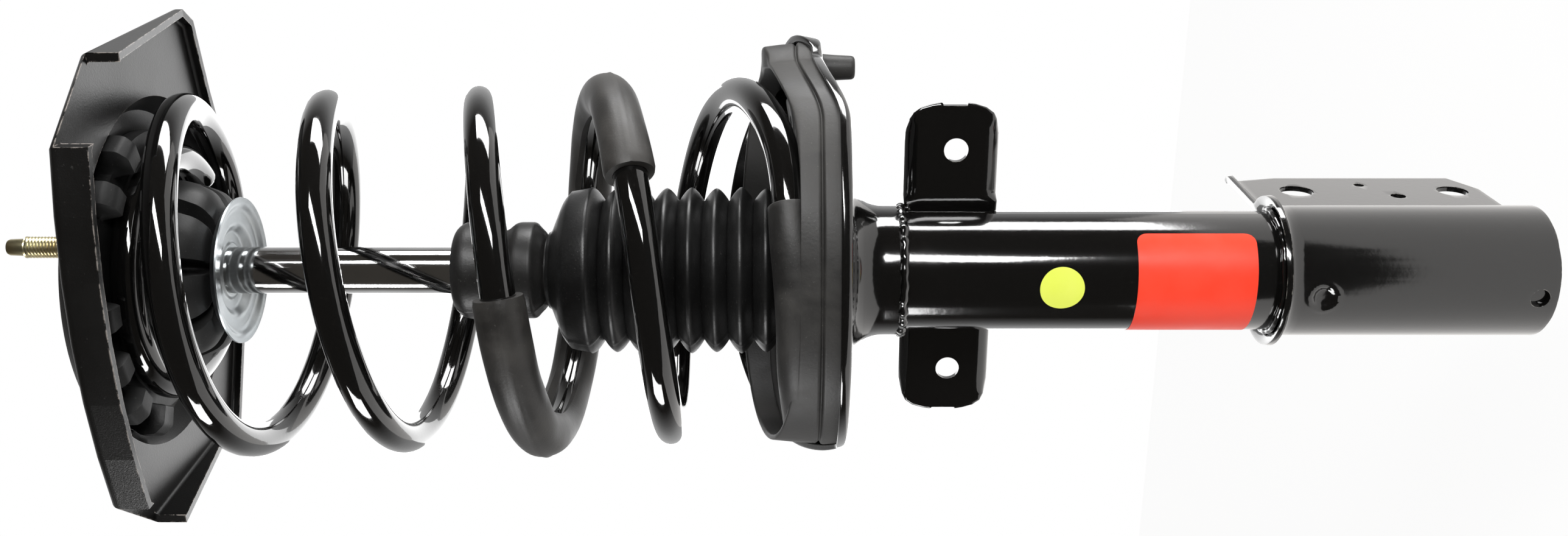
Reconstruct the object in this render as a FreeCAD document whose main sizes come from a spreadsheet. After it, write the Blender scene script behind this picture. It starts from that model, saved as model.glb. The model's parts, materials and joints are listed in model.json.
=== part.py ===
"""Rear strut assembly: gas damper, coil spring, top mount plate and knuckle bracket.

The strut stands upright. The origin is the centre of the tower face, on top of the mount plate, and
the strut hangs down from it, so a depth is a distance below that face. +X points to the upper link
tab and +Y to the open side of the knuckle bracket. A bearing is an angle in degrees from +X to +Y.
All sizes are millimetres.
"""
import FreeCAD, Part
import math
import os
import re

import Sketcher

SIZES = {
    # Top mount plate
    "sheet_wall": 3.0,
    "dish_rise": 8.0,
    "dish_radius": 76.0,
    "dish_slope": 6.0,
    "mount_hole_radius": 30.0,
    "near_margin": 9.0,
    "near_bulge": 10.0,
    "far_margin": 9.0,
    "top_margin": 27.0,
    "bottom_margin": 22.0,
    "top_corner_along": 37.0,
    "top_corner_across": 27.0,
    "bottom_corner_along": 31.0,
    "bottom_corner_across": 24.0,
    "far_edge_start": 50.0,
    "far_corner_inset": 7.0,
    "far_corner_rise": 10.0,
    "bottom_taper_end": 24.0,
    "far_shoulder": 64.0,
    "far_shoulder_drop": 17.5,
    "far_point_offset": 4.5,
    "dish_lap": 0.01,
    "flange_height": 16.0,
    "far_flange_height": 7.0,
    "bend_radius": 4.5,
    # Tower studs
    "stud_circle_radius": 40.0,
    "stud_radius": 5.0,
    "stud_shank_radius": 5.3,
    "stud_head_radius": 7.5,
    "stud_head_height": 2.5,
    "stud_short": 20.0,
    "stud_guide_thread": 67.0,
    "stud_guide_tip": 8.6,
    "stud_tip_radius": 3.6,
    "stud_tip_step": 1.0,
    "press_gap": 0.05,
    "head_gap": 0.3,
    # Rubber mount, sleeve, cup, washer and rod nut
    "rubber_top": 1.0,
    "rubber_edge_drop": 0.5,
    "rubber_waist_radius": 39.0,
    "rubber_waist_depth": 17.0,
    "rubber_waist_drop": 8.0,
    "rubber_end_radius": 27.0,
    "rubber_end_rise": 5.0,
    "rubber_chamfer": 3.0,
    "mount_sleeve_radius": 11.0,
    "cup_depth": 39.0,
    "cup_wall": 2.0,
    "cup_radius": 31.3,
    "cup_step_radius": 19.0,
    "cup_rim_drop": 4.5,
    "cup_lip": 4.0,
    "rubber_slots": 8,
    "rubber_slot_width": 7.0,
    "rubber_slot_drop": 12.0,
    "rubber_slot_reach": 12.0,
    "washer_radius": 24.0,
    "washer_wall": 3.0,
    "nut_across": 21.0,
    "nut_height": 11.0,
    "thread_radius": 7.0,
    "thread_above_nut": 5.0,
    # Upper spring insulator
    "insulator_wall": 6.85,
    "insulator_inner": 40.5,
    "insulator_outer": 60.0,
    "lug_outer": 71.0,
    "lug_width": 11.0,
    "lug_root": 4.0,
    "lug_drop": 18.0,
    # Damper
    "rod_radius": 10.0,
    "running_gap": 0.05,
    "tube_radius": 25.5,
    "tube_wall": 2.3,
    "tube_top_depth": 229.0,
    "tube_below_link": 225.25,
    "cap_wall": 1.5,
    "cap_skirt": 8.0,
    "guide_height": 22.0,
    "seal_height": 6.0,
    "seal_radius": 17.0,
    "bush_wall": 1.5,
    "bush_height": 14.0,
    "bush_drop": 1.0,
    "piston_radius": 16.0,
    "cylinder_wall": 1.5,
    "guide_spigot": 8.0,
    "stop_gap": 0.5,
    "stop_height": 10.0,
    "stop_radius": 14.5,
    "rod_below_stop": 12.0,
    "piston_height": 22.0,
    "piston_spigot_radius": 6.0,
    "piston_passages": 6,
    "passage_radius": 1.6,
    "passage_circle_radius": 9.5,
    "band_wall": 1.0,
    "band_height": 14.0,
    "disc_height": 1.6,
    "disc_radius": 12.5,
    "piston_nut_across": 17.0,
    "piston_nut_height": 9.0,
    "base_valve_height": 12.0,
    "base_foot_height": 6.0,
    "base_cap_height": 5.0,
    "base_bolt_radius": 3.0,
    "base_bolt_head_height": 3.0,
    "base_bolt_tail": 2.0,
    # Coil spring and its sleeve
    "wire_radius": 6.85,
    "coil_radius": 72.2,
    "pigtail_radius": 48.0,
    "pigtail_start_bearing": 1860.0,
    "pigtail_turn_in": 125.0,
    "spring_start_bearing": 40.0,
    "spring_lift_bearing": 215.0,
    "spring_lift_blend": 30.0,
    "spring_close_blend": 90.0,
    "spring_pitch": 58.75,
    "free_coil_radius": 71.3,
    "spring_lean": 18.0,
    "lean_start_bearing": 230.0,
    "lean_blend": 110.0,
    "lean_halving": 416.0,
    "near_side_bearing": 290.5,
    "soft_gap": 0.3,
    "spring_end_bearing": 2213.0,
    "free_turn_drop": 3.6,
    "free_turn_start": 450.0,
    "free_turn_end": 1740.0,
    "free_turn_blend": 120.0,
    "mid_turn_drop": 5.3,
    "mid_turn_start": 760.0,
    "mid_turn_end": 1290.0,
    "mid_turn_blend": 110.0,
    "seat_shift": 8.0,
    "seat_bearing": 20.5,
    "seat_leave_bearing": 260.0,
    "seat_leave_blend": 120.0,
    "low_turn_shift": 5.0,
    "high_turn_shift": -2.5,
    "coil_sleeve_wall": 3.4,
    "coil_sleeve_start": 679.0,
    "coil_sleeve_end": 1001.0,
    # Lower spring seat
    "perch_wall": 3.0,
    "perch_drop": 75.0,
    "perch_flare": 9.0,
    "perch_far_height": 53.0,
    "perch_rim_height": 12.0,
    "perch_rim_tilt": 26.0,
    "perch_cone_radius": 43.0,
    "perch_neck_radius": 28.0,
    "perch_cone_height": 14.0,
    "perch_neck_height": 8.5,
    "seat_rubber_inner": 58.0,
    "seat_rubber_wall": 13.65,
    "seat_rubber_rim_wall": 2.25,
    "seat_rubber_step_height": 21.0,
    "seat_rubber_rim_height": 39.0,
    "seat_rubber_blank": 48.0,
    "seat_rubber_tilt": 6.0,
    "channel_gap": 0.2,
    "lobe_radius": 24.0,
    "lobe_reach": 68.0,
    "lobe_height": 36.0,
    "nub_radius": 5.4,
    "nub_length": 7.6,
    "nub_reach": 79.0,
    "nub_gap": 0.1,
    # Jounce bumper and dust boot
    "bumper_lobe_height": 21.5,
    "bumper_bore_gap": 0.5,
    "bumper_radius": 20.7,
    "bumper_valley_radius": 16.4,
    "bumper_groove_radius": 14.6,
    "bumper_valley_height": 5.5,
    "bumper_ring_height": 8.0,
    "bumper_ring_gap": 5.0,
    "bumper_edge": 4.0,
    "bumper_neck_gap": 0.5,
    "bumper_below_neck": 50.0,
    "boot_neck_height": 4.0,
    "boot_lip": 1.0,
    "boot_shoulder_inset": 2.0,
    "boot_shoulder_drop": 8.0,
    "boot_first_crest_drop": 18.5,
    "boot_seat_gap": 3.6,
    "boot_ribs": 9,
    "boot_crest_share": 0.15,
    "boot_valley_share": 0.42,
    "boot_crest_radius": 35.6,
    "boot_valley_radius": 30.0,
    "boot_wall": 1.6,
    "boot_collar_drop": 4.0,
    "boot_collar_height": 6.0,
    # Link bracket
    "link_gap": 0.25,
    "link_width": 40.3,
    "link_wall": 2.5,
    "link_plane": 10.0,
    "link_reach": 70.0,
    "link_hole_offset": 50.6,
    "link_hole_drop": 1.5,
    "link_hole_radius": 5.15,
    "link_tip_width": 10.5,
    "link_shoulder_width": 31.2,
    "link_shoulder_drop": 4.0,
    "link_side_drop": 15.0,
    "link_flange": 12.0,
    "link_flange_start": 32.0,
    # Knuckle bracket
    "knuckle_wall": 2.4,
    "knuckle_height": 113.0,
    "sleeve_past_tube": 3.0,
    "ear_half_gap": 16.5,
    "ear_reach": 73.0,
    "ear_corner_along": 8.0,
    "ear_corner_across": 17.0,
    "ear_top_along": 24.0,
    "ear_top_across": 6.0,
    "lip_reach": 5.5,
    "lip_wall": 2.6,
    "lip_ear_reach": 62.0,
    "bolt_reach": 53.0,
    "upper_bolt_drop": 28.2,
    "bolt_spacing": 71.5,
    "upper_bolt_radius": 7.6,
    "lower_bolt_radius": 6.9,
    "drain_radius": 4.0,
    "drain_rise": 7.5,
    "drain_bearing": 265.5,
    "ear_small_hole_radius": 2.35,
    "ear_small_hole_drop": 60.0,
    "ear_small_hole_reach": 62.0,
    "ear_large_hole_radius": 3.35,
    "ear_large_hole_drop": 72.0,
    "ear_large_hole_reach": 45.5,
    # Welds, label and sticker
    "bead_radius": 1.8,
    "lip_bead_radius": 1.8,
    "lip_bead_angle": 230.0,
    "label_gap": 0.05,
    "label_wall": 0.15,
    "label_rise": 11.0,
    "label_height": 49.5,
    "label_start_bearing": 165.0,
    "label_angle": 162.0,
    "sticker_radius": 9.25,
    "sticker_drop": 23.45,
    "sticker_bearing": 272.9,
}

document = FreeCAD.newDocument("strut_assembly")
sheet = document.addObject("Spreadsheet::Sheet", "Sizes")
for row, (alias, value) in enumerate(SIZES.items(), start=1):
    sheet.set(f"A{row}", alias)
    sheet.set(f"B{row}", str(value))
    sheet.setAlias(f"B{row}", alias)
document.recompute()

# Reaches and depths that follow from the sizes
PLATE_NEAR = "(dish_radius + near_margin - near_bulge)"
PLATE_FAR = "(dish_radius + far_margin)"
PLATE_TOP = "(dish_radius + top_margin)"
PLATE_BOTTOM = "(dish_radius + bottom_margin)"
PERCH_RADIUS = "(coil_radius + wire_radius + channel_gap + seat_rubber_rim_wall + perch_wall)"
SPRING_TOP = "(sheet_wall + insulator_wall + soft_gap + wire_radius)"
BUMPER_FOOT = "(tube_top_depth - cap_wall)"
BOOT_NECK = f"({BUMPER_FOOT} - bumper_below_neck)"
PERCH_FLOOR = "(tube_top_depth + perch_drop)"
PERCH_CONE_END = f"({PERCH_FLOOR} + perch_cone_height)"
PERCH_END = f"({PERCH_CONE_END} + perch_neck_height)"
SPRING_SEAT = f"({PERCH_FLOOR} - perch_wall - seat_rubber_wall - wire_radius)"
LINK_TOP = f"({PERCH_END} + 1.5 * bead_radius + link_gap)"
LINK_DEPTH = f"({LINK_TOP} + link_width / 2)"
LINK_END = f"({LINK_TOP} + link_width)"
TUBE_END = f"({LINK_END} + tube_below_link)"
KNUCKLE_END = f"({TUBE_END} + sleeve_past_tube)"
KNUCKLE_TOP = f"({KNUCKLE_END} - knuckle_height)"

# Bearings
TURN = 360
QUARTER = 90
STUD_BEARINGS = (95.5, 215.5, 335.5)
LUG_BEARINGS = (210, 231, 252, 273, 316, 336)

# Places along half of the plate's bowed near edge, as shares of the half
NEAR_EDGE_SHARES = (1, 2 / 3, 1 / 3, 0, -1 / 3, -2 / 3, -1)

SAME_LEVEL = 0.001
WORD = re.compile(r"\b[a-z][a-z_]*[a-z]\b")
sub_parts = []


def formula(rule):
    """Write a rule in the sheet's words as an expression."""
    def cell(word):
        return "Sizes." + word.group() if word.group() in SIZES else word.group()
    return WORD.sub(cell, str(rule))


def number(rule):
    """Work out a rule with the sheet's present sizes."""
    result = sheet.evalExpression(formula(rule))
    return float(getattr(result, "Value", result))


def bind(thing, **rules):
    """Tie properties of an object to rules."""
    for name, rule in rules.items():
        thing.setExpression(name, formula(rule))
    return thing


def place(thing, x=0, y=0, z=0, bearing=None):
    """Tie an object's place to rules."""
    if bearing is not None:
        thing.Placement = FreeCAD.Placement(FreeCAD.Vector(), FreeCAD.Rotation(FreeCAD.Vector(0, 0, 1), 1))
        thing.setExpression("Placement.Rotation.Angle", formula(bearing))
    for axis, rule in (("x", x), ("y", y), ("z", z)):
        thing.setExpression(f"Placement.Base.{axis}", formula(rule))
    return thing


def keep(thing, label):
    """Name an object as a finished sub-part."""
    thing.Label = label
    sub_parts.append(thing)
    return thing


# Solids between two depths

def cylinder(name, radius, top, bottom, x=0, y=0, angle=None, bearing=None):
    thing = bind(document.addObject("Part::Cylinder", name), Radius=radius, Height=f"({bottom}) - ({top})")
    if angle is not None:
        bind(thing, Angle=angle)
    return place(thing, x, y, f"-({bottom})", bearing)


def cone(name, top_radius, bottom_radius, top, bottom, x=0, y=0):
    thing = bind(document.addObject("Part::Cone", name), Radius1=bottom_radius, Radius2=top_radius,
                 Height=f"({bottom}) - ({top})")
    return place(thing, x, y, f"-({bottom})")


def box(name, x, y, top, bottom):
    """Make a box from its two X rules, its two Y rules and two depths."""
    thing = bind(document.addObject("Part::Box", name), Length=f"({x[1]}) - ({x[0]})",
                 Width=f"({y[1]}) - ({y[0]})", Height=f"({bottom}) - ({top})")
    return place(thing, x[0], y[0], f"-({bottom})")


def cross_pin(name, radius, x, y, depth):
    """Make a cylinder along X between two X rules."""
    thing = bind(document.addObject("Part::Cylinder", name), Radius=radius, Height=f"({x[1]}) - ({x[0]})")
    thing.Placement = FreeCAD.Placement(FreeCAD.Vector(), FreeCAD.Rotation(FreeCAD.Vector(0, 1, 0), QUARTER))
    return place(thing, x[0], y, f"-({depth})")


def side_pin(name, radius, bearing, depth):
    """Make a cylinder out from the strut's axis at a bearing."""
    thing = bind(document.addObject("Part::Cylinder", name), Radius=radius, Height="2 * tube_radius")
    square = math.radians(number(bearing) + QUARTER)
    thing.Placement = FreeCAD.Placement(FreeCAD.Vector(), FreeCAD.Rotation(
        FreeCAD.Vector(math.cos(square), math.sin(square), 0), QUARTER))
    return place(thing, z=f"-({depth})")


def cut(name, base, *tools):
    thing = document.addObject("Part::Cut", name)
    thing.Base = base
    thing.Tool = tools[0] if len(tools) == 1 else fuse(name + "_tools", *tools)
    return thing


def fuse(name, *things):
    thing = document.addObject("Part::MultiFuse", name)
    thing.Shapes = list(things)
    thing.Refine = True
    return thing


def common(name, *things):
    thing = document.addObject("Part::MultiCommon", name)
    thing.Shapes = list(things)
    return thing


def group(name, *things):
    thing = document.addObject("Part::Compound", name)
    thing.Links = list(things)
    return thing


def ring(name, outer, inner, top, bottom, x=0, y=0):
    rim = cylinder(name + "_rim", outer, top, bottom, x, y)
    return cut(name, rim, cylinder(name + "_bore", inner, top, bottom, x, y))


def hex_nut(name, across, bore, top, bottom):
    prism = document.addObject("Part::Prism", name + "_hex")
    prism.Polygon = 6
    bind(prism, Circumradius=f"({across}) / (2 * cos(30))", Height=f"({bottom}) - ({top})")
    place(prism, z=f"-({bottom})")
    return cut(name, prism, cylinder(name + "_thread", bore, top, bottom))


# Bodies made from sketches

def new_sketch(body, name, plane):
    sketch = body.newObject("Sketcher::SketchObject", name)
    origin_plane = [feature for feature in body.Origin.OriginFeatures if feature.Role == plane][0]
    sketch.AttachmentSupport = [(origin_plane, "")]
    sketch.MapMode = "FlatFace"
    return sketch


def tie_polygon(sketch, points):
    """Draw a closed polygon whose corners are tied to pairs of rules."""
    first = sketch.GeometryCount
    corners = [FreeCAD.Vector(number(across), number(up), 0) for across, up in points]
    count = len(corners)
    for index in range(count):
        sketch.addGeometry(Part.LineSegment(corners[index], corners[(index + 1) % count]), False)
    for index in range(count):
        following = first + (index + 1) % count
        sketch.addConstraint(Sketcher.Constraint("Coincident", first + index, 2, following, 1))
    for index, rules in enumerate(points):
        for kind, rule, level in zip(("DistanceX", "DistanceY"), rules, corners[index]):
            tie = sketch.addConstraint(Sketcher.Constraint(kind, -1, 1, first + index, 1, level))
            sketch.setExpression(f"Constraints[{tie}]", formula(rule))


def revolved(label, station, points):
    """Turn a section, given as radius and depth pairs, about the strut's axis."""
    body = document.addObject("PartDesign::Body", label + "_body")
    sketch = new_sketch(body, label + "_section", "XZ_Plane")
    tie_polygon(sketch, [(radius, f"({station}) - ({depth})") for radius, depth in points])
    turn = body.newObject("PartDesign::Revolution", label + "_turn")
    turn.Profile = sketch
    turn.ReferenceAxis = (sketch, ["V_Axis"])
    turn.Angle = TURN
    body.Tip = turn
    place(body, z=f"-({station})")
    return body


def padded(label, plane, points, length, midplane=False):
    """Pad a polygon on one of the origin planes."""
    body = document.addObject("PartDesign::Body", label + "_body")
    sketch = new_sketch(body, label + "_outline", plane)
    tie_polygon(sketch, points)
    pad = body.newObject("PartDesign::Pad", label + "_pad")
    pad.Profile = sketch
    bind(pad, Length=length)
    pad.Midplane = midplane
    body.Tip = pad
    return body


# Top mount

def mount_plate():
    """Stamped plate: a flanged outline with a raised round dish."""
    near_start = f"({PLATE_TOP} - top_corner_across)"
    near_end = f"({PLATE_BOTTOM} - bottom_corner_across)"
    corners = [(f"({near_start} - {near_end}) / 2 + {share} * ({near_start} + {near_end}) / 2",
                f"-{PLATE_NEAR} - near_bulge * {1 - share * share}") for share in NEAR_EDGE_SHARES]
    corners += [
        (f"-{PLATE_BOTTOM}", f"-{PLATE_NEAR} + bottom_corner_along"),
        (f"-{PLATE_BOTTOM}", "far_edge_start"),
        ("-far_shoulder", f"{PLATE_FAR} - far_shoulder_drop"),
        ("far_point_offset", PLATE_FAR),
        ("far_shoulder", f"{PLATE_FAR} - far_shoulder_drop"),
        (f"{PLATE_TOP} - far_corner_inset", "far_edge_start + far_corner_rise"),
        (PLATE_TOP, "far_edge_start"),
        (PLATE_TOP, f"-{PLATE_NEAR} + top_corner_along"),
    ]
    body = padded("mount_plate", "XY_Plane", corners, "flange_height")
    document.recompute()
    pad = body.Tip
    low = min(range(len(pad.Shape.Faces)), key=lambda index: pad.Shape.Faces[index].CenterOfMass.z)
    tray = body.newObject("PartDesign::Thickness", "mount_plate_tray")
    tray.Base = (pad, [f"Face{low + 1}"])
    bind(tray, Value="sheet_wall")
    tray.Reversed = True
    tray.Mode = 0
    tray.Join = 1
    body.Tip = tray
    for name, level, radius in (("outer", "flange_height", "bend_radius"),
                                ("inner", "flange_height - sheet_wall", "bend_radius - sheet_wall")):
        document.recompute()
        base = body.Tip
        edges = [f"Edge{index}" for index, edge in enumerate(base.Shape.Edges, start=1)
                 if all(abs(vertex.Z - number(level)) < SAME_LEVEL for vertex in edge.Vertexes)]
        bend = body.newObject("PartDesign::Fillet", f"mount_plate_{name}_bend")
        bend.Base = (base, edges)
        bind(bend, Radius=radius)
        body.Tip = bend
    place(body, z="-dish_rise - flange_height")
    dish = revolved("mount_dish", "dish_rise + sheet_wall", [
        ("mount_hole_radius", "0"),
        ("dish_radius - dish_slope", "0"),
        ("dish_radius", "dish_rise"),
        ("dish_radius", "dish_rise + sheet_wall"),
        ("dish_radius - sheet_wall / 2", "dish_rise + sheet_wall"),
        ("dish_radius - dish_slope - sheet_wall / 2", "sheet_wall"),
        ("mount_hole_radius", "sheet_wall"),
    ])
    below = "dish_rise + sheet_wall"
    past = "dish_rise + 2 * flange_height"
    opening = cylinder("dish_opening", "dish_radius - dish_lap", 0, past)
    trims = [
        box("top_corner_gap", (f"{PLATE_TOP} - top_corner_across", f"2 * {PLATE_TOP}"),
            (f"-2 * {PLATE_NEAR}", f"-{PLATE_NEAR} + top_corner_along"), below, past),
        box("bottom_corner_gap", (f"-2 * {PLATE_BOTTOM}", f"-{PLATE_BOTTOM} + bottom_corner_across"),
            (f"-2 * {PLATE_NEAR}", f"-{PLATE_NEAR} + bottom_corner_along"), below, past),
        flange_taper("top_taper", "0", f"-{PLATE_NEAR} + top_corner_along", "far_edge_start", past),
        flange_taper("bottom_taper", f"-2 * {PLATE_BOTTOM}", f"-{PLATE_NEAR} + bottom_corner_along",
                     "bottom_taper_end", past),
    ]
    holes = [cylinder(f"stud_hole_{index}", "stud_shank_radius + press_gap", "-sheet_wall", "dish_rise",
                      f"stud_circle_radius * cos({bearing})", f"stud_circle_radius * sin({bearing})")
             for index, bearing in enumerate(STUD_BEARINGS)]
    flat = cut("mount_flat", body, opening, *trims)
    whole = fuse("mount_plate_whole", flat, dish)
    keep(cut("mount_plate_cut", whole, *holes), "mount_plate")


def flange_taper(name, x, start, end, past):
    """Wedge that trims a side flange down to the height of the far one."""
    low = "dish_rise + far_flange_height"
    outline = [(start, "dish_rise + flange_height"), (end, low), (f"2 * {PLATE_FAR}", low),
               (f"2 * {PLATE_FAR}", past), (start, past)]
    points = [(across, f"-({depth})") for across, depth in outline]
    return place(padded(name, "YZ_Plane", points, f"2 * {PLATE_BOTTOM}"), x=x)


def mount_studs():
    """One long guide stud and two short ones, pressed in from below."""
    studs = []
    for index, bearing in enumerate(STUD_BEARINGS):
        x = f"stud_circle_radius * cos({bearing})"
        y = f"stud_circle_radius * sin({bearing})"
        length = "stud_guide_thread" if index == 0 else "stud_short"
        pieces = [
            cylinder(f"stud_{index}_thread", "stud_radius", f"-{length}", "0", x, y),
            cylinder(f"stud_{index}_shank", "stud_shank_radius", "0", "sheet_wall", x, y),
            cylinder(f"stud_{index}_head", "stud_head_radius", "sheet_wall", "sheet_wall + stud_head_height",
                     x, y),
        ]
        if index == 0:
            pieces.append(cone("guide_tip", "stud_tip_radius", "stud_radius - stud_tip_step",
                               "-stud_guide_thread - stud_guide_tip", "-stud_guide_thread", x, y))
        studs.append(fuse(f"stud_{index}", *pieces))
    keep(group("stud_set", *studs), "mount_studs")


def rod_mount():
    """Rubber bonded on a steel sleeve, clamped between a washer and a cup by the rod nut."""
    rubber = revolved("mount_rubber_form", "cup_depth", [
        ("mount_sleeve_radius", "-rubber_top"),
        ("washer_radius - rubber_top", "-rubber_top"),
        ("washer_radius", "rubber_edge_drop"),
        ("mount_hole_radius", "rubber_edge_drop"),
        ("mount_hole_radius", "sheet_wall"),
        ("rubber_waist_radius - rubber_chamfer", "sheet_wall"),
        ("rubber_waist_radius", "sheet_wall + rubber_chamfer"),
        ("rubber_waist_radius", "rubber_waist_depth"),
        ("rubber_waist_radius - rubber_chamfer", "rubber_waist_depth + rubber_waist_drop"),
        ("rubber_end_radius + rubber_chamfer", "cup_depth - rubber_end_rise"),
        ("rubber_end_radius", "cup_depth"),
        ("mount_sleeve_radius", "cup_depth"),
    ])
    heads = [cylinder(f"rubber_head_pocket_{index}", "stud_head_radius + head_gap", "sheet_wall",
                      "sheet_wall + stud_head_height + head_gap",
                      f"stud_circle_radius * cos({bearing})", f"stud_circle_radius * sin({bearing})")
             for index, bearing in enumerate(STUD_BEARINGS)]
    slots = []
    for index in range(int(number("rubber_slots"))):
        slot = bind(document.addObject("Part::Box", f"rubber_slot_{index}"), Length="rubber_slot_reach * 2",
                    Width="rubber_slot_width", Height="rubber_slot_drop")
        bearing = f"({index} + 0.5) * 360 / rubber_slots"
        along = "(rubber_end_radius - rubber_slot_reach / 2)"
        place(slot, f"{along} * cos({bearing}) + rubber_slot_width / 2 * sin({bearing})",
              f"{along} * sin({bearing}) - rubber_slot_width / 2 * cos({bearing})", "-cup_depth", bearing)
        slots.append(slot)
    keep(cut("mount_rubber_cut", rubber, *heads, *slots), "mount_rubber")
    keep(ring("mount_sleeve_form", "mount_sleeve_radius", "thread_radius", "-rubber_top", "cup_depth"),
         "mount_sleeve")
    washer_top = "-rubber_top - washer_wall"
    keep(ring("upper_washer_form", "washer_radius", "thread_radius", washer_top, "-rubber_top"),
         "upper_washer")
    keep(hex_nut("rod_nut_form", "nut_across", "thread_radius", f"{washer_top} - nut_height", washer_top),
         "rod_nut")
    keep(revolved("bumper_cup_form", "cup_depth + cup_rim_drop + 2 * cup_wall", [
        ("thread_radius", "cup_depth"),
        ("cup_step_radius", "cup_depth"),
        ("cup_step_radius + cup_wall", "cup_depth + cup_rim_drop / 2"),
        ("cup_radius - cup_lip", "cup_depth + cup_rim_drop / 2"),
        ("cup_radius", "cup_depth + cup_rim_drop"),
        ("cup_radius", "cup_depth + cup_rim_drop + cup_wall"),
        ("cup_radius - cup_lip - cup_wall / 4", "cup_depth + cup_rim_drop / 2 + cup_wall"),
        ("cup_step_radius + cup_wall / 2", "cup_depth + cup_rim_drop / 2 + cup_wall"),
        ("cup_step_radius - cup_wall / 2", "cup_depth + cup_wall"),
        ("thread_radius", "cup_depth + cup_wall"),
    ]), "bumper_cup")


def upper_insulator():
    """Rubber ring over the closed end of the spring, with lugs round its edge."""
    top = "sheet_wall"
    bottom = "sheet_wall + insulator_wall"
    disc = ring("insulator_disc", "insulator_outer", "insulator_inner", top, bottom)
    lugs = []
    along = "(insulator_outer - lug_root)"
    for index, bearing in enumerate(LUG_BEARINGS):
        lug = bind(document.addObject("Part::Box", f"insulator_lug_{index}"),
                   Length=f"lug_outer - {along}", Width="lug_width", Height=f"lug_drop - {top}")
        place(lug, f"{along} * cos({bearing}) + lug_width / 2 * sin({bearing})",
              f"{along} * sin({bearing}) - lug_width / 2 * cos({bearing})", "-lug_drop", bearing)
        lugs.append(lug)
    clear = cylinder("lug_clearance", "pigtail_radius + wire_radius + lug_root / 2", bottom, "2 * lug_drop")
    slope = "dish_radius - dish_slope - sheet_wall / 2 - soft_gap"
    bevel = cut("lug_bevel", cylinder("lug_bevel_blank", "dish_radius", top, "dish_rise + sheet_wall"),
                cone("lug_bevel_keep", slope, f"{slope} + dish_slope", top, "dish_rise + sheet_wall"))
    heads = [cylinder(f"insulator_head_pocket_{index}", "stud_head_radius + head_gap", top,
                      "sheet_wall + stud_head_height + head_gap",
                      f"stud_circle_radius * cos({bearing})", f"stud_circle_radius * sin({bearing})")
             for index, bearing in enumerate(STUD_BEARINGS)]
    whole = fuse("insulator_whole", disc, *lugs)
    keep(cut("insulator_cut", whole, clear, bevel, *heads), "upper_spring_insulator")


# Damper

STOP_TOP = "(tube_top_depth + guide_height + guide_spigot + stop_gap)"
PISTON_TOP = f"({STOP_TOP} + stop_height + rod_below_stop)"
DISC_TOP = f"({PISTON_TOP} + piston_height)"
NUT_TOP = f"({DISC_TOP} + disc_height)"
NUT_END = f"({NUT_TOP} + piston_nut_height)"
CYLINDER_TOP = "(tube_top_depth + guide_height)"
CAP_TOP = f"({TUBE_END} - base_cap_height)"
CYLINDER_END = f"({CAP_TOP} - base_foot_height)"
VALVE_TOP = f"({CYLINDER_END} - base_valve_height)"


def rod_and_piston():
    rod = revolved("piston_rod_form", NUT_END, [
        ("0", "-rubber_top - washer_wall - nut_height - thread_above_nut"),
        ("thread_radius", "-rubber_top - washer_wall - nut_height - thread_above_nut"),
        ("thread_radius", "cup_depth + cup_wall"),
        ("rod_radius", "cup_depth + cup_wall"),
        ("rod_radius", PISTON_TOP),
        ("piston_spigot_radius", PISTON_TOP),
        ("piston_spigot_radius", NUT_END),
        ("0", NUT_END),
    ])
    keep(rod, "piston_rod")
    keep(ring("rebound_stop_form", "stop_radius", "rod_radius", STOP_TOP, f"{STOP_TOP} + stop_height"),
         "rebound_stop")
    groove_top = f"{PISTON_TOP} + (piston_height - band_height) / 2"
    groove_end = f"{PISTON_TOP} + (piston_height + band_height) / 2"
    piston = revolved("piston_form", DISC_TOP, [
        ("piston_spigot_radius", PISTON_TOP),
        ("piston_radius - band_wall / 2", PISTON_TOP),
        ("piston_radius - band_wall / 2", groove_top),
        ("piston_radius - band_wall", groove_top),
        ("piston_radius - band_wall", groove_end),
        ("piston_radius - band_wall / 2", groove_end),
        ("piston_radius - band_wall / 2", DISC_TOP),
        ("piston_spigot_radius", DISC_TOP),
    ])
    passages = [cylinder(f"passage_{index}", "passage_radius", PISTON_TOP, DISC_TOP,
                         f"passage_circle_radius * cos({index} * 360 / piston_passages)",
                         f"passage_circle_radius * sin({index} * 360 / piston_passages)")
                for index in range(int(number("piston_passages")))]
    keep(cut("piston_cut", piston, *passages), "piston")
    keep(ring("piston_band_form", "piston_radius", "piston_radius - band_wall", groove_top, groove_end),
         "piston_band")
    keep(ring("piston_discs_form", "disc_radius", "piston_spigot_radius", DISC_TOP, NUT_TOP),
         "piston_valve_discs")
    keep(hex_nut("piston_nut_form", "piston_nut_across", "piston_spigot_radius", NUT_TOP, NUT_END),
         "piston_nut")


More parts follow.
